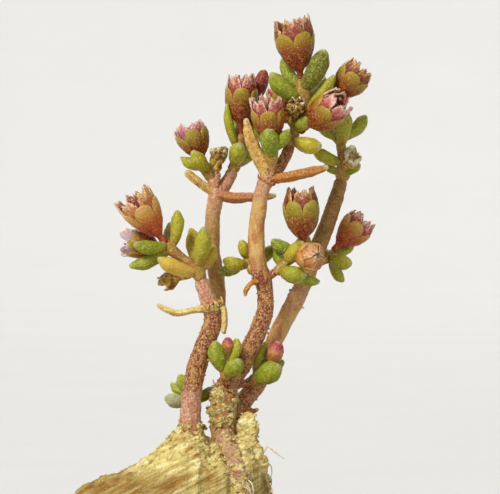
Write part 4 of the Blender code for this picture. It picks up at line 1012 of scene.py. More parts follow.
def petal_material():
    """Thin petals, ochre to rose outside, dark red within and cream at their frayed tips."""
    material, shade, along, tint, inner = start_material("petal_skin", *MARKS)
    height = along + (mottle(shade, 0.8) - 0.5) * 0.4
    ochre = ramp(height, (0.35, 84, 12, 0), (0.62, 96, 28, 0), (0.84, 112, 54, 6),
                 (0.93, 144, 90, 28), (1, 238, 200, 128))
    rose = ramp(height, (0.35, 116, 8, 10), (0.62, 142, 24, 22), (0.82, 180, 60, 50),
                (0.92, 226, 146, 126), (0.99, 255, 234, 220))
    lilac = ramp(height, (0.35, 150, 84, 84), (0.6, 176, 134, 150), (1, 214, 196, 212))
    peach = ramp(height, (0.35, 164, 50, 22), (0.6, 200, 96, 34), (0.8, 218, 132, 60),
                 (0.94, 240, 176, 112), (1, 252, 220, 164))
    within = ramp(height, (0.35, 60, 2, 4), (0.7, 126, 10, 14), (0.88, 172, 52, 44), (1, 236, 186, 152))
    rosy, peachy = ease(tint, 0, 1), ease(tint, -1, 0, 1, 0)
    outside = blend(ease(tint, 1.2, 1.8), blend(rosy, ochre, rose), lilac)
    skin = blend(inner, blend(peachy, outside, peach), within)
    amount = ease(height, 0.72, 1, 0.16, 0.6)
    speck = blend(peachy, blend(rosy, (224, 172, 104), (252, 216, 190)), (255, 228, 172))
    skin, rise = grained(shade, skin, 0.27, speck, (104, 18, 8), amount)
    return finish_material(material, shade, {
        "Base Color": skin, "Roughness": 0.52 - rise * 0.18, "Specular IOR Level": 0.35,
        "Subsurface Weight": 0.1, "Subsurface Radius": (1, 0.5, 0.3),
        "Subsurface Scale": 0.4 * MM, "Normal": relief(rise, 0.07, 0.9)})


def bud_material():
    """A closed bud, green at its foot, orange above and rose at its tip."""
    material, shade, along, tone = start_material("bud_skin", "along", "tone")
    height = along + (mottle(shade, 0.7) - 0.5) * 0.25
    pale = ramp(height, (0.1, 128, 118, 30), (0.4, 180, 112, 44), (0.6, 210, 142, 84),
                (0.74, 190, 92, 84), (0.9, 164, 46, 70), (1, 214, 150, 150))
    red = ramp(height, (0.2, 116, 48, 20), (0.6, 136, 34, 16), (1, 166, 80, 44))
    skin = blend(ease(tone, 0.2, 0.5), red, pale)
    rise, chance = beads(shade, 0.28)
    # Painted highlight: the top of the odd bead is painted pale, as a glint.
    skin = blend(rise * chance * 0.4, skin, (244, 210, 160))
    # Painted shade: the gaps between the beads are painted darker.
    skin = blend(ease(rise, 0, 0.5, 0.35, 0), skin, (100, 40, 20))
    return finish_material(material, shade, {
        "Base Color": skin, "Roughness": 0.45 - rise * 0.15, "Specular IOR Level": 0.4,
        "Subsurface Weight": 0.14, "Subsurface Radius": (1, 0.6, 0.4),
        "Subsurface Scale": 0.5 * MM, "Normal": relief(rise, 0.05, 0.8)})


def dried_material():
    """Papery dead flower, brown and gold with whitish flecks at its edges."""
    material, shade, along, tone, inner = start_material("dried_flower", *MARKS)
    patch = mottle(shade, 0.6)
    skin = ramp(patch + (tone - 0.5) * 0.35, (0.3, 96, 56, 16), (0.44, 156, 112, 34),
                (0.56, 196, 156, 62), (0.75, 222, 204, 140))
    skin = blend(inner * 0.5, skin, (72, 40, 14))
    skin = blend(ease(along, 0.9, 1) * ease(patch + tone * 0.3, 0.5, 0.75), skin, (230, 222, 190))
    return finish_material(material, shade, {
        "Base Color": skin, "Roughness": 0.8, "Subsurface Weight": 0.08,
        "Subsurface Radius": (1, 0.8, 0.5), "Subsurface Scale": 0.3 * MM,
        "Normal": relief(mottle(shade, 0.25), 0.08, 0.9)})


def crust_material():
    """Pale khaki sandy ground in slanting layers, with darker strands and bright grains, painted shade low
    on the lump and in its gaps, and painted highlights on the sleeves.
    """
    material, shade, tone = start_material("sandy_crust", "tone")
    slant = shade.node("ShaderNodeMapping", {"vector_type": "TEXTURE"}, {
        "Vector": where(shade), "Rotation": (0, -LAYER_TILT, 0), "Scale": LAYER_STREAK})
    layers = mottle(shade, 1, 4, slant)
    skin = ramp(layers, (0.3, 150, 120, 60), (0.42, 204, 182, 100), (0.53, 226, 208, 130),
                (0.66, 250, 240, 180))
    # Where the tone is below 0: over the sand sleeves, and as painted shade on the lump's lower part.
    caked = ease(tone, -1, 0, 1, 0)
    sleeve = ease(tone, -1, -0.92, 1, 0)
    brown = ease(mottle(shade, 3.4) + caked * 0.12, 0.5, 0.72)
    brown = brown * ease(layers, 0.4, 0.6, 0.75, 0.25) * (1 - sleeve * 0.8)
    skin = blend(brown, skin, (180, 122, 50))
    skin = blend(ease(mottle(shade, 0.55, 3, slant), 0.29, 0.38, 0.6, 0), skin, (84, 54, 16))
    skin = blend(ease(mottle(shade, 0.8), 0.3, 0.46, 0.35, 0), skin, (112, 92, 38))
    grain, chance = beads(shade, 0.24)
    skin = blend(grain * chance * 0.55, skin, (246, 240, 196))
    skin = blend(ease(mottle(shade, 0.3), 0.32, 0.46, 0.4, 0), skin, (110, 80, 30))
    gap_shade = ease(mottle(shade, 0.9), 0.38, 0.54, 1, 0)
    # Darker where the tone is below 0: the sleeves, and the lump's lower part as painted shade.
    skin = blend(caked * (0.95 - sleeve * 0.45), skin, (194, 178, 150), "MULTIPLY")
    # Painted shade in the gaps between lumps, strongest on the sleeves.
    skin = blend(caked * gap_shade * (0.16 + sleeve * 0.5), skin, (98, 72, 34))
    # Painted highlight: cream patches on the sleeves' lumps.
    skin = blend(sleeve * ease(mottle(shade, 0.6), 0.5, 0.58, 0, 0.75), skin, (234, 214, 164))
    rooty, bark = ease(tone, 1, 2), mottle(shade, 0.7)
    skin = blend(rooty * ease(bark, 0.34, 0.56, 0.15, 0.9), skin, (176, 130, 106))
    skin = blend(rooty * ease(bark, 0.56, 0.66, 0, 0.75), skin, (140, 70, 46))
    return finish_material(material, shade, {
        "Base Color": skin, "Roughness": 0.88, "Specular IOR Level": 0.3,
        "Normal": relief(grain * 0.5 + mottle(shade, 0.35), 0.15)})


def soil_material():
    """Dark crumbly potting soil with the odd paler crumb."""
    material, shade, tone = start_material("potting_soil", "tone")
    skin = ramp(mottle(shade, 1.4, 4) + (tone - 0.5) * 0.3, (0.3, 44, 30, 20), (0.5, 78, 54, 36),
                (0.7, 116, 84, 54), (0.85, 150, 114, 74))
    return finish_material(material, shade, {
        "Base Color": skin, "Roughness": 0.92, "Normal": relief(mottle(shade, 0.3), 0.15, 0.9)})


def grit_material():
    """Pale grit and sand grains on the soil."""
    material, shade, tone = start_material("pale_grit", "tone")
    skin = ramp(tone, (0, 150, 134, 104), (0.5, 196, 184, 152), (1, 226, 220, 204))
    skin = blend(ease(mottle(shade, 0.4), 0.4, 0.7, 0, 0.4), skin, (122, 104, 78))
    return finish_material(material, shade, {
        "Base Color": skin, "Roughness": 0.7, "Normal": relief(mottle(shade, 0.25), 0.08, 0.8)})


def clay_material():
    """Unglazed terracotta with fine grain, turning marks and a faint bloom of lime."""
    material, shade = start_material("pot_clay")
    skin = ramp(mottle(shade, 14, 5), (0.3, 150, 78, 50), (0.5, 176, 96, 62), (0.7, 196, 118, 80))
    bloom = mottle(shade, 6, 6) * ease(mottle(shade, 22), 0.4, 0.7)
    skin = blend(ease(bloom, 0.35, 0.75, 0, 0.55), skin, (218, 190, 166))
    speck = mottle(shade, 0.5, 2)
    skin = blend(ease(speck, 0.62, 0.72, 0, 0.5), skin, (110, 56, 38))
    rings = shade.node("ShaderNodeTexWave", {"bands_direction": "Z"}, {
        "Vector": where(shade), "Scale": 160, "Distortion": 1.2, "Detail": 2}, "Fac")
    return finish_material(material, shade, {
        "Base Color": skin, "Roughness": 0.88,
        "Normal": relief(speck, 0.06, 0.7, relief(rings, 0.05, 0.5))})


def straw_material():
    """Pale straw and fine dry roots."""
    material, shade, tone = start_material("straw", "tone")
    skin = ramp(tone, (0, 120, 84, 46), (0.5, 196, 156, 100), (1, 240, 232, 206))
    skin = blend(ease(mottle(shade, 0.4), 0.45, 0.7, 0, 0.35), skin, (140, 100, 60))
    return finish_material(material, shade, {
        "Base Color": skin, "Roughness": 0.7, "Normal": relief(mottle(shade, 0.3), 0.04, 0.7)})


def floor_material():
    """Plain pale studio paper."""
    material, shade = start_material("studio_paper")
    skin = blend(mottle(shade, 60), (206, 205, 202), (211, 210, 207))
    return finish_material(material, shade, {"Base Color": skin, "Roughness": 0.9})


# Pot and ground


def pot_inner_radius(z):
    """The inside of the pot's wall, straight from the floor to the rim."""
    share = (z - POT_FLOOR) / (POT_HEIGHT - POT_FLOOR)
    foot = POT_FOOT_RADIUS - POT_WALL
    return foot + (POT_RIM_RADIUS - POT_WALL - foot) * share


def make_pot(clay):
    """A turned pot with soft edges, slightly out of round as a fired pot is."""
    band_foot = POT_HEIGHT - POT_BAND_HEIGHT
    band_radius = POT_RIM_RADIUS - POT_BAND_TAPER
    under_band = band_radius - POT_BAND_STEP
    wall = [(under_band + (POT_FOOT_RADIUS - under_band) * share, band_foot * (1 - share))
            for share in POT_COURSES]
    bm = fresh_mesh()
    spin_profile(bm, POT_SIDES, [
        (DRAIN_RADIUS, POT_FLOOR), (pot_inner_radius(POT_FLOOR), POT_FLOOR),
        (POT_RIM_RADIUS - POT_WALL, POT_HEIGHT), (POT_RIM_RADIUS, POT_HEIGHT),
        (band_radius, band_foot), (under_band, band_foot), *wall,
        (POT_FOOT_RADIUS, 0.0), (DRAIN_RADIUS, 0.0)], True)
    sharp = [edge for edge in bm.edges if edge.calc_face_angle(0.0) > POT_SHARP]
    bmesh.ops.bevel(bm, geom=sharp, affect="EDGES", offset=POT_EDGE * MM,
                    segments=POT_EDGE_STEPS, profile=0.5, material=-1)
    for vertex in bm.verts:
        turn = math.atan2(vertex.co.y, vertex.co.x)
        swing = sum(size * math.sin(waves * turn + start) for waves, size, start in POT_WOBBLE)
        swing += layered(vertex.co, POT_DENTS)
        grown = 1 + swing * MM / vertex.co.xy.length
        vertex.co.x *= grown
        vertex.co.y *= grown
    finish_piece("clay_pot", bm, clay, "terracotta", "pot")


def clod_outline(turn, share):
    """A point of the lump's plan, at that share of the way out to its edge."""
    ragged = 1 + sum(swing * math.sin(waves * (turn + 1)) for waves, swing in CLOD_RAGGED)
    return (CLOD_CENTRE[0] + CLOD_RADII[0] * share * ragged * math.cos(turn),
            CLOD_CENTRE[1] + CLOD_RADII[1] * share * ragged * math.sin(turn))


def seat_level(share):
    """How deep the lump's seat is pressed into the soil at that share of the way out."""
    inside = max(0.0, 1.0 - share)
    return SOIL_TOP - CLOD_SEAT_DEPTH * min(1.0, inside / CLOD_SEAT_SLOPE)


def make_soil(soil, grit, chance):
    """Crumbly soil up to just below the rim, strewn with crumbs and a little pale grit."""
    wall_top = pot_inner_radius(SOIL_TOP) - SOIL_WALL_GAP
    wall_foot = pot_inner_radius(SOIL_BOTTOM + SOIL_FOOT_EDGE) - SOIL_WALL_GAP
    round_rings = [
        (0.0, SOIL_BOTTOM), (wall_foot - SOIL_FOOT_EDGE, SOIL_BOTTOM),
        (wall_foot, SOIL_BOTTOM + SOIL_FOOT_EDGE), (wall_top, SOIL_TOP - SOIL_EDGE),
    ]

    def position(row, turn):
        if row < len(round_rings):
            radius, z = round_rings[row]
            return Vector((radius * math.cos(turn), radius * math.sin(turn), z)) * MM, SOIL_MARKS
        share = (row - len(round_rings)) / SOIL_ROWS
        if share <= 1.0:
            edge = Vector(clod_outline(turn, SOIL_SEAT[0]))
            wall = Vector((math.cos(turn), math.sin(turn))) * (wall_top - SOIL_EDGE * 0.4)
            middle = wall.lerp(edge, share)
            rise = SOIL_RISE * noise.noise(Vector((*middle, 0.0)) * SOIL_SCALE)
            return Vector((*middle, SOIL_TOP + rise * math.sin(math.pi * share))) * MM, SOIL_MARKS
        seat = SOIL_SEAT[row - len(round_rings) - SOIL_ROWS]
        return Vector((*clod_outline(turn, seat), seat_level(seat))) * MM, SOIL_MARKS

    bm = fresh_mesh()
    add_wrap(bm, SOIL_SIDES, len(round_rings) + SOIL_ROWS + len(SOIL_SEAT) - 1, position)
    roughen(bm, SOIL_GRIT, amount=lambda vertex: float(vertex.co.z > (SOIL_TOP - SOIL_ROUGH_DEPTH) * MM))
    spots = surface_spots(bm, lambda co: co.z > (SOIL_TOP - SOIL_CRUMB_DEPTH) * MM)
    finish_piece("soil", bm, soil, "soil", "potting_soil")
    make_crumbs("soil_crumbs", spots, SOIL_CRUMBS, SOIL_CRUMB_SIZES, soil, "soil", chance)
    make_crumbs("soil_grit", spots, GRIT_CRUMBS, GRIT_SIZES, grit, "sandy_ground", chance)


def ridge_height(x):
    """The height of the lump's ridge line at x."""
    for (left, low), (right, high) in zip(CLOD_RIDGE, CLOD_RIDGE[1:]):
        if x <= right:
            return low + (high - low) * max(0.0, x - left) / (right - left)
    return CLOD_RIDGE[-1][1]


def clod_height(x, y):
    """The lump's top surface at a point of its plan, counted from the collar."""
    back = y - CLOD_CENTRE[1]
    fall = (CLOD_BACK_FALL if back > 0 else CLOD_FRONT_FALL) * back**2
    lumps = LUMP_HEIGHT * noise.noise(Vector((x * LUMP_SCALE, y * LUMP_SCALE, 3.0)))
    crumbs = CRUMB_HEIGHT * noise.noise(Vector((x * CRUMB_SCALE, y * CRUMB_SCALE, 8.0)))
    return ridge_height(x) - fall + lumps + crumbs


def off_line(spot, start, end):
    """How far a flat point lies from the stretch between two others."""
    share = (spot - start).dot(end - start) / (end - start).length_squared
    return (spot - start.lerp(end, max(0.0, min(1.0, share)))).length


def crevice_depth(co):
    """The cleft in the lump's front beside the thick left root."""
    if co.y > CREVICE_FRONT * MM:
        return 0.0
    spot = Vector((co.x / MM, co.z / MM - COLLAR))
    nearest = min(off_line(spot, Vector(start), Vector(end))
                  for start, end in zip(CREVICE, CREVICE[1:]))
    return CREVICE_DEPTH * (1 - smooth_step(nearest / CREVICE_WIDTH))


def crust_rise(co):
    """Slanting layers that break off in ledges."""
    warp_size, warp = LAYER_WARP
    through = co.z / MM * math.cos(LAYER_TILT) - co.x / MM * math.sin(LAYER_TILT)
    through += warp * noise.noise(co / (warp_size * MM))
    ledge = through / LAYER_STEP % 1.0
    broken = smooth_step(0.5 + 2 * noise.noise(co / (LEDGE_PATCH * MM) + Vector(LEDGE_PATCH_START)))
    return LAYER_DEPTH * broken * (ledge if ledge < LEDGE_END else (1 - ledge) * 4)


def make_root(name, tone, knots, crust):
    """A thick old root crusted with sand, less pink towards its end: the spots on it."""
    fade_start, fade = ROOT_TONE_FADE
    bm = fresh_mesh()
    add_tube(bm, knots, STEM_SIDES, STEM_STEP, lambda share, point: (
        share, tone * (1 - ROOT_TONE_FALL * smooth_step((share - fade_start) / fade)), 0.0))
    roughen(bm, CRUSTED_BARK)
    spots = surface_spots(bm, lambda co: True)
    finish_piece(name, bm, crust, "sandy_ground", "ground_clod")
    return spots


def make_clod(crust, chance):
    """The lump of sandy ground: ledged and crumbling, with crusted roots down its front."""
    def position(row, turn):
        if row < CLOD_UNDER_ROWS:
            share = CLOD_UNDER_SHARE * row / (CLOD_UNDER_ROWS - 1)
            x, y = clod_outline(turn, share)
            return Vector((x, y, seat_level(share) + CLOD_SEAT_GAP)) * MM, (0, 0, 0)
        share = CLOD_OUTER_SHARE * (1 - (row - CLOD_UNDER_ROWS) / CLOD_TOP_ROWS)
        x, y = clod_outline(turn, share)
        lowest = SOIL_TOP + CLOD_EDGE + CLOD_EDGE_RISE * (CLOD_OUTER_SHARE - share)
        height = COLLAR + clod_height(x, y)
        # Painted shade: the tone drops below 0 lower down the lump, and the crust paints that darker.
        low_shade = -CLOD_LOW_SHADE * smooth_step((CLOD_LOW_SHADE_TOP - height) / CLOD_LOW_SHADE_REACH)
        return Vector((x, y, max(lowest, height))) * MM, (0, low_shade, 0)

    bm = fresh_mesh()
    add_wrap(bm, CLOD_SIDES, CLOD_UNDER_ROWS + CLOD_TOP_ROWS, position)
    face_outwards(bm)
    for vertex in bm.verts:
        if vertex.co.z > (SOIL_TOP + CRUST_RELIEF_START) * MM:
            vertex.co += vertex.normal * ((crust_rise(vertex.co) - crevice_depth(vertex.co)) * MM)
    roughen(bm, CRUST_GRAIN, amount=lambda vertex: smooth_step(
        (vertex.co.z / MM - SOIL_TOP) / CRUST_GRAIN_REACH))
    spots = surface_spots(bm, lambda co: co.z > (SOIL_TOP + CRUST_CRUMB_START) * MM)
    flank = [spot for spot in spots if spot[0].x > RIGHT_FLANK * MM]
    upper = [spot for spot in spots if spot[0].z > (COLLAR + CLOD_CRUMB_LEVEL) * MM]
    spots = upper * UPPER_CRUMB_WEIGHT + spots
    for name, (tone, knots) in CLOD_ROOTS.items():
        flank += make_root(name, tone, knots, crust)
    finish_piece("sandy_clod", bm, crust, "sandy_ground", "ground_clod")
    make_crumbs("clod_crumbs", spots, CLOD_CRUMBS, CLOD_CRUMB_SIZES, crust, "sandy_ground", chance)
    make_crumbs("flank_crumbs", flank, FLANK_CRUMBS, FLANK_CRUMB_SIZES, crust, "sandy_ground",
                chance)
    return flank


# Stems


def stem_marks(stem):
    """Marks of a stem's points, from their height: their tone, and how pink their bloom is."""
    return lambda share, point: (share, level(stem.tones, point.z), level(stem.pinks, point.z))


def plain_marks(tone):
    """Marks of a tube in one tone."""
    return lambda share, point: (share, tone, 0.0)


def withered_shape(share, turn):
    """A flattened, ridged section for a dry leaf: its (width, thickness)."""
    ridge = 1 + WITHERED_RIDGE * math.cos(WITHERED_RIDGES * turn + WITHERED_TWIST * share)
    hollow = 1 - WITHERED_HOLLOW * max(0.0, math.sin(turn)) * math.sin(math.pi * share)
    return WITHERED_WIDTH * ridge, WITHERED_THICKNESS * ridge * hollow


def add_sheath(bm, stem, height, reach, flare, tone):
    """Adds a thin ragged collar round a stem, open at its free edge."""
    route = smooth_route(stem.route, STEM_STEP)
    rings = rings_along(route)
    foot = min(range(len(route)), key=lambda index: abs(route[index].z - height))
    step = 1 if reach > 0 else -1
    rows = max(2, round(abs(reach) / STEM_STEP))

    def position(across, up, inner):
        turn = across * math.pi * SHEATH_AROUND
        tear = noise.noise(Vector((5 * math.cos(turn), 5 * math.sin(turn), height)))
        ragged = max(SHEATH_SHORTEST, SHEATH_LENGTH + SHEATH_RAGGED * tear)
        along = foot + step * up * rows * ragged
        whole = min(max(int(along), 0), len(rings) - 2)
        point, side, front = rings[whole]
        centre = point.xyz.lerp(route[whole + 1].xyz, along - whole)
        radius = point.w + SHEATH_LIFT + flare * up**1.5 * (SHEATH_FLARE + ragged)
        radius -= SHEATH_THICKNESS * inner
        spot = centre + side * radius * math.cos(turn) + front * radius * math.sin(turn)
        return place(spot), (up * SHEATH_PALENESS, tone, inner)

    add_sheet(bm, SHEATH_COLUMNS, SHEATH_ROWS, position)


def add_sleeve(bm, stem):
    """Adds a lumpy sleeve of sand that covers the bark where it is thick enough."""
    lowest, highest, thickness = stem.sleeve
    smallest, swing = SLEEVE_LUMPS
    knots = [knot for knot in smooth_route(stem.route, STEM_STEP) if lowest <= knot.z <= highest]

    def shape(share, turn):
        lumps = noise.noise(Vector((2 * math.cos(turn), 2 * math.sin(turn), 5 * share + highest)))
        around = 1.0 + thickness * (smallest + swing * lumps)
        return around, around

    add_tube(bm, knots, STEM_SIDES, STEM_STEP, plain_marks(-1.0), shape)


def make_sleeves(crust, chance):
    """The sand caked round the stems' feet, with its loose crumbs."""
    bm = fresh_mesh()
    for stem in STEMS.values():
        add_sleeve(bm, stem)
    roughen(bm, SLEEVE_GRAIN)
    spots = surface_spots(bm, lambda co: co.z > (COLLAR + STEM_CRUMB_LEVEL) * MM)
    finish_piece("sand_sleeves", bm, crust, "sandy_ground")
    make_crumbs("sand_on_stems", spots, STEM_CRUMBS, STEM_CRUMB_SIZES, crust, "sandy_ground",
                chance)


def make_stem(name, stem, bark, withered):
    """A stem with its twigs, its dry leaves and the papery sheaths round its nodes."""
    bm = fresh_mesh()
    add_tube(bm, stem.route, STEM_SIDES, STEM_STEP, stem_marks(stem))
    for knots in stem.twigs:
        add_tube(bm, knots, TWIG_SIDES, STEM_STEP, stem_marks(stem))
    roughen(bm, BARK, BARK_BEAD)
    flaking = surface_spots(bm, lambda co: co.z < (COLLAR + BARK_FLAKE_LEVEL) * MM)
    finish_piece(f"{name}_bark", bm, bark, "stem", name)
    bm = fresh_mesh()
    for tone, knots in stem.withered:
        add_tube(bm, knots, TWIG_SIDES, STEM_STEP, plain_marks(tone), withered_shape)
    for sheath in stem.sheaths:
        add_sheath(bm, stem, *sheath)
    roughen(bm, WITHERED_SKIN, WITHERED_BEAD)
    finish_piece(f"{name}_withered", bm, withered, "dried_flower", name)
    return flaking


# Leaves


def point_on(knots, share):
    """The point at that share of the way along the knots, and the direction there."""
    scaled = share * (len(knots) - 1)
    first = min(int(scaled), len(knots) - 2)
    start, end = Vector(knots[first][:3]), Vector(knots[first + 1][:3])
    return start.lerp(end, scaled - first), (end - start).normalized()


def add_leaf(bm, foot, tip, width, upward, tone):
    """Adds a fleshy leaf from foot to tip: blunt, round below, flatter above, bowed midway."""
    along = tip - foot
    length = along.length
    forward = along / length
    face = (upward - forward * upward.dot(forward)).normalized()
    side = face.cross(forward)

    def position(row, turn):
        angle = math.pi * row / LEAF_ROWS
        share = (1 - math.cos(angle)) / 2
        fullness = LEAF_FOOT_WIDTH + (LEAF_TIP_WIDTH - LEAF_FOOT_WIDTH) * share
        swelling = fullness * max(0.0, math.sin(angle)) ** LEAF_BLUNTNESS
        swelling *= 1 - LEAF_POINT * smooth_step((share - LEAF_POINT_START) / (1 - LEAF_POINT_START))
        across = width / 2 * swelling * math.cos(turn)
        above = width * LEAF_THICKNESS * swelling * math.sin(turn)
        if above > 0:
            above *= LEAF_FLATNESS_ABOVE
        bow = LEAF_BOW * length * share * (1 - share)
        spot = foot + forward * length * share + side * across + face * (above - bow)
        return place(spot), (share, tone, 0.0)

    add_wrap(bm, LEAF_SIDES, LEAF_ROWS, position)


def make_head(name, head, skin):
    """A shoot with its pairs of leaves, whose feet join in a swollen sheath round it."""
    bm = fresh_mesh()
    start, second = Vector(head.shoot[0]), Vector(head.shoot[1])
    back = (start.xyz - second.xyz).normalized() * SHOOT_OVERLAP
    knots = [(*(start.xyz + back), start.w)] + head.shoot
    nodes = [point_on(head.shoot, leaf[0])[0] for leaf in head.leaves]

    def swell(point):
        nearest = min((point.xyz - node).length for node in nodes)
        return 1 - smooth_step(nearest / SHEATH_REACH)

    grown = [(*Vector(knot[:3]), knot[3] * (1 + SHEATH_SWELL * swell(Vector(knot)))) for knot in knots]
    add_tube(bm, grown, TWIG_SIDES, STEM_STEP,
             lambda share, point: (*SHOOT_MARKS, SHOOT_BARENESS * (1 - 0.5 * swell(point))))
    for branch in head.branches:
        add_tube(bm, branch, TWIG_SIDES, STEM_STEP,
                 lambda share, point: (*SHOOT_MARKS, BRANCH_BARENESS))
    for share, tip, width, tone in head.leaves:
        node, upward = point_on(head.shoot, share)
        outward = (Vector(tip) - node).normalized()
        add_leaf(bm, node + outward * LEAF_SET_IN, Vector(tip), width, upward, tone)
    roughen(bm, LEAF_SKIN, LEAF_BEAD)
    finish_piece(f"{name}_skin", bm, skin, "leaf", name)


# Flowers


def flower_point(flower, radius, height, turn):
    """A point at that radius and turn about the flower's axis, that high above its foot."""
    foot, mouth = Vector(flower.foot), Vector(flower.mouth)
    axis = (mouth - foot).normalized()
    front = Vector((0.0, -1.0, 0.0))
    front = (front - axis * front.dot(axis)).normalized()
    side = axis.cross(front)
    turn += math.radians(flower.turned)
    return place(foot + axis * height + front * radius * math.cos(turn)
                 + side * radius * math.sin(turn))


def cup_height(flower):
    """The length of the flower above its bare stalk."""
    return (Vector(flower.mouth) - Vector(flower.foot)).length - flower.stalk


def urn(flower):
    """The flower's outside as (share of the cup's height, radius): its belly shrinks wholly with
    its fullness, its middle half as much and its mouth not at all."""
    width, full = flower.width, flower.fullness
    return [(0.0, STALK_RADIUS), CUP_NECK, (0.22, 0.32 * width * full),
            (0.46, 0.46 * width * (1 + full) / 2), (0.72, 0.49 * width), (1.0, 0.50 * width)]


def flower_spot(flower, outline, up, outward, turn):
    """A point that far outside the flower's outline at a share of its cup's height."""
    return flower_point(flower, max(0.0, level(outline, up) + outward),
                        flower.stalk + up * cup_height(flower), turn)


def add_cup(bm, flower, outline):
    """Adds the stalk and the lower cup, closed by a low dome."""
    def position(row, turn):
        if row <= STALK_ROWS:
            height = (flower.stalk + STALK_SUNK) * row / STALK_ROWS - STALK_SUNK
            radius = 0.0 if row == 0 else STALK_RADIUS
            return flower_point(flower, radius, height, turn), (0.0, flower.tone, 0.0)
        share = (row - STALK_ROWS) / (CUP_ROWS - STALK_ROWS)
        up = CUP_TOP * math.sin(math.pi / 2 * min(1.0, share * CUP_RISE))
        inward = smooth_step((share - CUP_CLOSING_START) / 0.3) * level(outline, up)
        return flower_spot(flower, outline, up, -CUP_INSET - inward, turn), (up, flower.tone, 0.0)

    add_wrap(bm, CUP_SIDES, CUP_ROWS, position)


def add_sepal(bm, flower, outline, centre):
    """Adds one fleshy sepal, thick in the middle and blunt at its tip."""
    def position(row, turn):
        angle = math.pi * row / SEPAL_ROWS
        share = (1 - math.cos(angle)) / 2
        round_off = max(0.0, math.sin(angle))
        half = SEPAL_HALF * round_off ** (SEPAL_FOOT_BLUNTNESS + SEPAL_TAPER * share)
        thick = SEPAL_THICKNESS * round_off**SEPAL_ROUNDNESS / 2
        up = SEPAL_FOOT + (SEPAL_TIP - SEPAL_FOOT) * share
        outward = thick * math.sin(turn) - SEPAL_SINK
        return (flower_spot(flower, outline, up, outward, centre + half * math.cos(turn)),
                (share, flower.tone, abs(math.cos(turn))**SEPAL_RIM))

    add_wrap(bm, SEPAL_SIDES, SEPAL_ROWS, position)


def add_petal(bm, flower, outline, centre, seed):
    """Adds one thin petal with a notched, frayed tip, lapped over its neighbour."""
    fray_size, fray = PETAL_FRAY
    finer, weaker = PETAL_FINE_FRAY
    fray *= 1 - PETAL_WHOLENESS * smooth_step(flower.tint - 1)
    tall = 1 - PETAL_UNEVEN * abs(noise.noise(Vector((seed, 7.0, 0.0))))

    def position(across, up, inner):
        ragged = fray * noise.noise(Vector((across / fray_size, seed, 0.0)))
        ragged += weaker * fray * noise.noise(Vector((across / fray_size * finer, seed, 4.0)))
        top = level(PETAL_EDGE, across)
        top += (1 - PETAL_ROUND * across**2 - top) * smooth_step(flower.tint - 1)
        top = tall * (top + (1 - top) * flower.closing) + ragged
        height = PETAL_FOOT + (top - PETAL_FOOT) * up
        closing = flower.closing * smooth_step((height - PETAL_BEND_START) / 0.3)
        outward = PETAL_LAP * across + PETAL_CROWN * (1 - across * across) * up
        outward -= PETAL_INSET + PETAL_THICKNESS * inner + closing * level(outline, height)
        turn = centre + PETAL_HALF * across
        pale = PETAL_FOOT + (1 - PETAL_FOOT) * up
        streak = PETAL_STREAK * noise.noise(Vector((across * 3, seed, 9.0)))
        return flower_spot(flower, outline, height, outward, turn), (pale, flower.tint + streak, inner)

    add_sheet(bm, PETAL_COLUMNS, PETAL_ROWS, position)


def add_throat(bm, flower, chance):
    """Adds five carpels and five stamens in the mouth."""
    for index in range(LOBES):
        turn = LOBE_ANGLE * (index + CARPEL_TURN)
        spread = flower.width * CARPEL_SPREAD
        low, high = (flower.stalk + share * cup_height(flower) for share in (CARPEL_FOOT, CARPEL_TOP))
        knots = [flower_point(flower, spread * (1 - CARPEL_LEAN * at), low + (high - low) * at, turn)
                 for at in (0.0, 0.5, 1.0)]
        knots = [(*from_collar(knot), width) for knot, width in zip(knots, CARPEL_WIDTHS)]
        add_tube(bm, knots, CARPEL_SIDES, CARPEL_STEP,
                 lambda share, point: (0.35 + 0.3 * share, 0.5, 1.0))
        turn += LOBE_ANGLE / 2
        tops = [flower_point(flower, flower.width * reach, flower.stalk + up * cup_height(flower), turn)
                for reach, up in STAMEN_WAY]
        knots = [(*from_collar(top), STAMEN_RADIUS) for top in tops]
        add_tube(bm, knots, STAMEN_SIDES, STAMEN_STEP, lambda share, point: STAMEN_MARKS)
        size = ANTHER * chance.uniform(*ANTHER_SIZES) * MM
        ball = bmesh.ops.create_icosphere(bm, subdivisions=2, radius=size,
                                          matrix=Matrix.Translation(tops[-1]))["verts"]
        for vertex in ball:
            set_marks(vertex, mark_layers(bm), ANTHER_MARKS)


def make_bloom(name, flower, sepal_skin, petal_skin, chance):
    """An open flower: cup and sepals as one piece, petals and throat as another."""
    outline = urn(flower)
    bm = fresh_mesh()
    add_cup(bm, flower, outline)
    for index in range(LOBES):
        add_sepal(bm, flower, outline, LOBE_ANGLE * index)
    roughen(bm, SEPAL_SKIN, FLOWER_BEAD)
    finish_piece(f"sepals_{name}", bm, sepal_skin, "calyx", f"calyx_{name}")
    bm = fresh_mesh()
    for index in range(LOBES):
        seed = flower.foot[0] + PETAL_SEED_STEP * index
        add_petal(bm, flower, outline, LOBE_ANGLE * (index + 0.5), seed)
    add_throat(bm, flower, chance)
    roughen(bm, PETAL_SKIN, PETAL_BEAD)
    finish_piece(f"petal_ring_{name}", bm, petal_skin, "petal", f"petals_{name}")


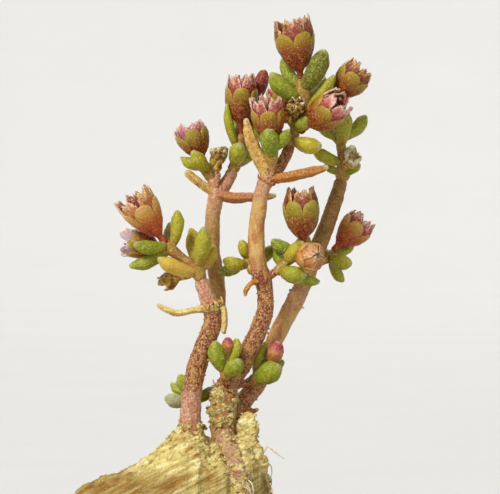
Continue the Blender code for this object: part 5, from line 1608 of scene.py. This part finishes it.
def make_bud(name, flower, skin):
    """A closed bud of five petals on its stalk."""
    cup = cup_height(flower)
    outline = [(0.0, STALK_RADIUS), BUD_NECK]
    outline += [(up, share * flower.width) for up, share in BUD_OUTLINE]

    def position(row, turn):
        height = (flower.stalk + cup + BUD_SUNK) * row / BUD_ROWS - BUD_SUNK
        up = (height - flower.stalk) / cup
        radius = STALK_RADIUS if up < 0 else level(outline, up)
        groove = 1 - BUD_GROOVE * smooth_step(up * 2) * (1 - abs(math.cos(LOBES * turn / 2))**0.5)
        if row in (0, BUD_ROWS):
            radius = 0.0
        return flower_point(flower, radius * groove, height, turn), (max(0.0, up), flower.tone, 0.0)

    bm = fresh_mesh()
    add_wrap(bm, BUD_SIDES, BUD_ROWS, position)
    roughen(bm, BUD_SKIN)
    finish_piece(f"closed_bud_{name}", bm, skin, "bud", f"bud_{name}")


def make_dried(name, flower, skin):
    """A dead flower: a shrunken cup with crumpled papery lobes round a dark hollow."""
    outline = urn(flower)
    bm = fresh_mesh()
    add_cup(bm, flower, outline)
    for index in range(LOBES):
        stray = noise.noise(Vector((index * 3.3, flower.foot[0], 0.0)))
        centre = LOBE_ANGLE * (index + DRIED_STRAY * stray)
        uneven = abs(noise.noise(Vector((index * 1.7, flower.foot[2], 2.0))))
        tall = DRIED_SHORTEST + DRIED_UNEVEN * uneven * 2

        def position(across, up, inner):
            curl = DRIED_CURL * up * up * noise.noise(Vector((across * 2, up * 2, centre * 3)))
            height = DRIED_FOOT + (tall * (1 - DRIED_ROUND * across * across) - DRIED_FOOT) * up
            closing = DRIED_CLOSING * smooth_step(up) * level(outline, height)
            outward = curl + DRIED_SPREAD * up * abs(across) - DRIED_THICKNESS * inner - closing
            return (flower_spot(flower, outline, height, outward, centre + DRIED_HALF * across),
                    (0.5 + 0.5 * up, flower.tone, inner))

        add_sheet(bm, DRIED_COLUMNS, DRIED_ROWS, position)
    roughen(bm, DRIED_SKIN)
    finish_piece(f"dead_flower_{name}", bm, skin, "dried_flower", f"dried_{name}")


# Stage


def make_floor():
    """A wide pale floor that sweeps up far behind."""
    profile = [(0.0, 0.0), (FLOOR_FLAT, 0.0)]
    for step in range(1, FLOOR_SWEEP_STEPS + 1):
        angle = math.pi / 2 * step / FLOOR_SWEEP_STEPS
        profile.append((FLOOR_FLAT + FLOOR_SWEEP * math.sin(angle), FLOOR_SWEEP * (1 - math.cos(angle))))
    bm = bmesh.new()
    spin_profile(bm, FLOOR_SIDES, profile, False)
    mesh_object("floor", bm, floor_material())


def light_stage():
    """Soft light from the upper left, a fill from the right and a little from behind."""
    for name, (spot, energy, size) in LAMPS.items():
        data = bpy.data.lights.new(name, "AREA")
        data.energy = energy
        data.size = size
        lamp = add_object(name, data)
        lamp.location = spot
        lamp.rotation_mode = "QUATERNION"
        lamp.rotation_quaternion = (Vector(CAMERA_AIM) * MM - Vector(spot)).to_track_quat("-Z", "Y")
    bpy.context.scene.view_settings.view_transform = "Standard"
    world = bpy.data.worlds.new("studio")
    bpy.context.scene.world = world
    world.use_nodes = True
    glow = world.node_tree.nodes["Background"].inputs
    glow["Color"].default_value = STUDIO_COLOUR
    glow["Strength"].default_value = STUDIO_STRENGTH


def make_camera():
    """The photograph's view, straight on and from slightly above."""
    aim = Vector(CAMERA_AIM) * MM
    tilt = math.radians(CAMERA_ELEVATION)
    data = bpy.data.cameras.new("camera")
    data.sensor_width = SENSOR
    data.lens = SENSOR * CAMERA_DISTANCE / PICTURE_WIDTH
    data.clip_start = CAMERA_NEAR
    camera = add_object("camera", data)
    camera.location = aim + Vector((0.0, -math.cos(tilt), math.sin(tilt))) * CAMERA_DISTANCE * MM
    camera.rotation_euler = (math.pi / 2 - tilt, 0.0, 0.0)
    bpy.context.scene.camera = camera


def make_plant(chance):
    """Stems, leafy heads and flowers."""
    bark, withered, crust = bark_material(), withered_material(), crust_material()
    flaking = []
    for name, stem in STEMS.items():
        flaking += make_stem(name, stem, bark, withered)
    make_crumbs("bark_flakes", flaking, BARK_FLAKES, BARK_FLAKE_SIZES, withered, "dried_flower",
                chance, BARK_FLAKE_FLATNESS)
    make_sleeves(crust, chance)
    make_fibres(make_clod(crust, chance), chance)
    leaf_skin = leaf_material()
    for name, head in HEADS.items():
        make_head(name, head, leaf_skin)
    sepal_skin, petal_skin = sepal_material(), petal_material()
    bud_skin, dried_skin = bud_material(), dried_material()
    for name, flower in FLOWERS.items():
        if flower.kind == "bud":
            make_bud(name, flower, bud_skin)
        elif flower.kind == "dried":
            make_dried(name, flower, dried_skin)
        else:
            make_bloom(name, flower, sepal_skin, petal_skin, chance)


def root_hair(start, normal, chance):
    """A fine root that leaves the lump, bends over and hangs: its knots."""
    foot = from_collar(start)
    lean = Vector((*(chance.uniform(*bounds) for bounds in ROOT_HAIR_LEAN), 0.0))
    away = normal * chance.uniform(*ROOT_HAIR_REACH)
    length = chance.uniform(*ROOT_HAIR_LENGTHS)
    radius = chance.uniform(*ROOT_HAIR_RADII)
    down = Vector((0.0, 0.0, -length))
    bends = [foot - normal * ROOT_HAIR_SUNK]
    bends += [foot + away * out + lean * aside + down * low for out, aside, low in ROOT_HAIR_BENDS]
    return [(*bend, radius * (1 - ROOT_HAIR_TAPER * index)) for index, bend in enumerate(bends)]


def make_fibres(flank, chance):
    """Loose straw and fine roots on the lump, and a tuft of root hairs on its right flank."""
    straw = straw_material()
    bm = fresh_mesh()
    for tone, knots in FIBRES:
        add_tube(bm, knots, FIBRE_SIDES, FIBRE_STEP, plain_marks(tone))
    finish_piece("fibres", bm, straw, "dried_flower")
    (left, right), (low, high) = ROOT_HAIR_AREA
    spots = [(spot, normal) for spot, normal in flank
             if left < spot.x / MM < right and low < spot.z / MM - COLLAR < high
             and normal.y < ROOT_HAIR_FACING]
    bm = fresh_mesh()
    for _ in range(ROOT_HAIRS):
        knots = root_hair(*chance.choice(spots), chance)
        add_tube(bm, knots, FIBRE_SIDES, FIBRE_STEP,
                 plain_marks(chance.uniform(*ROOT_HAIR_TONES)))
    finish_piece("root_hairs", bm, straw, "dried_flower")


chance = random.Random(SEED)
make_camera()
light_stage()
make_floor()
make_pot(clay_material())
make_soil(soil_material(), grit_material(), chance)
make_plant(chance)
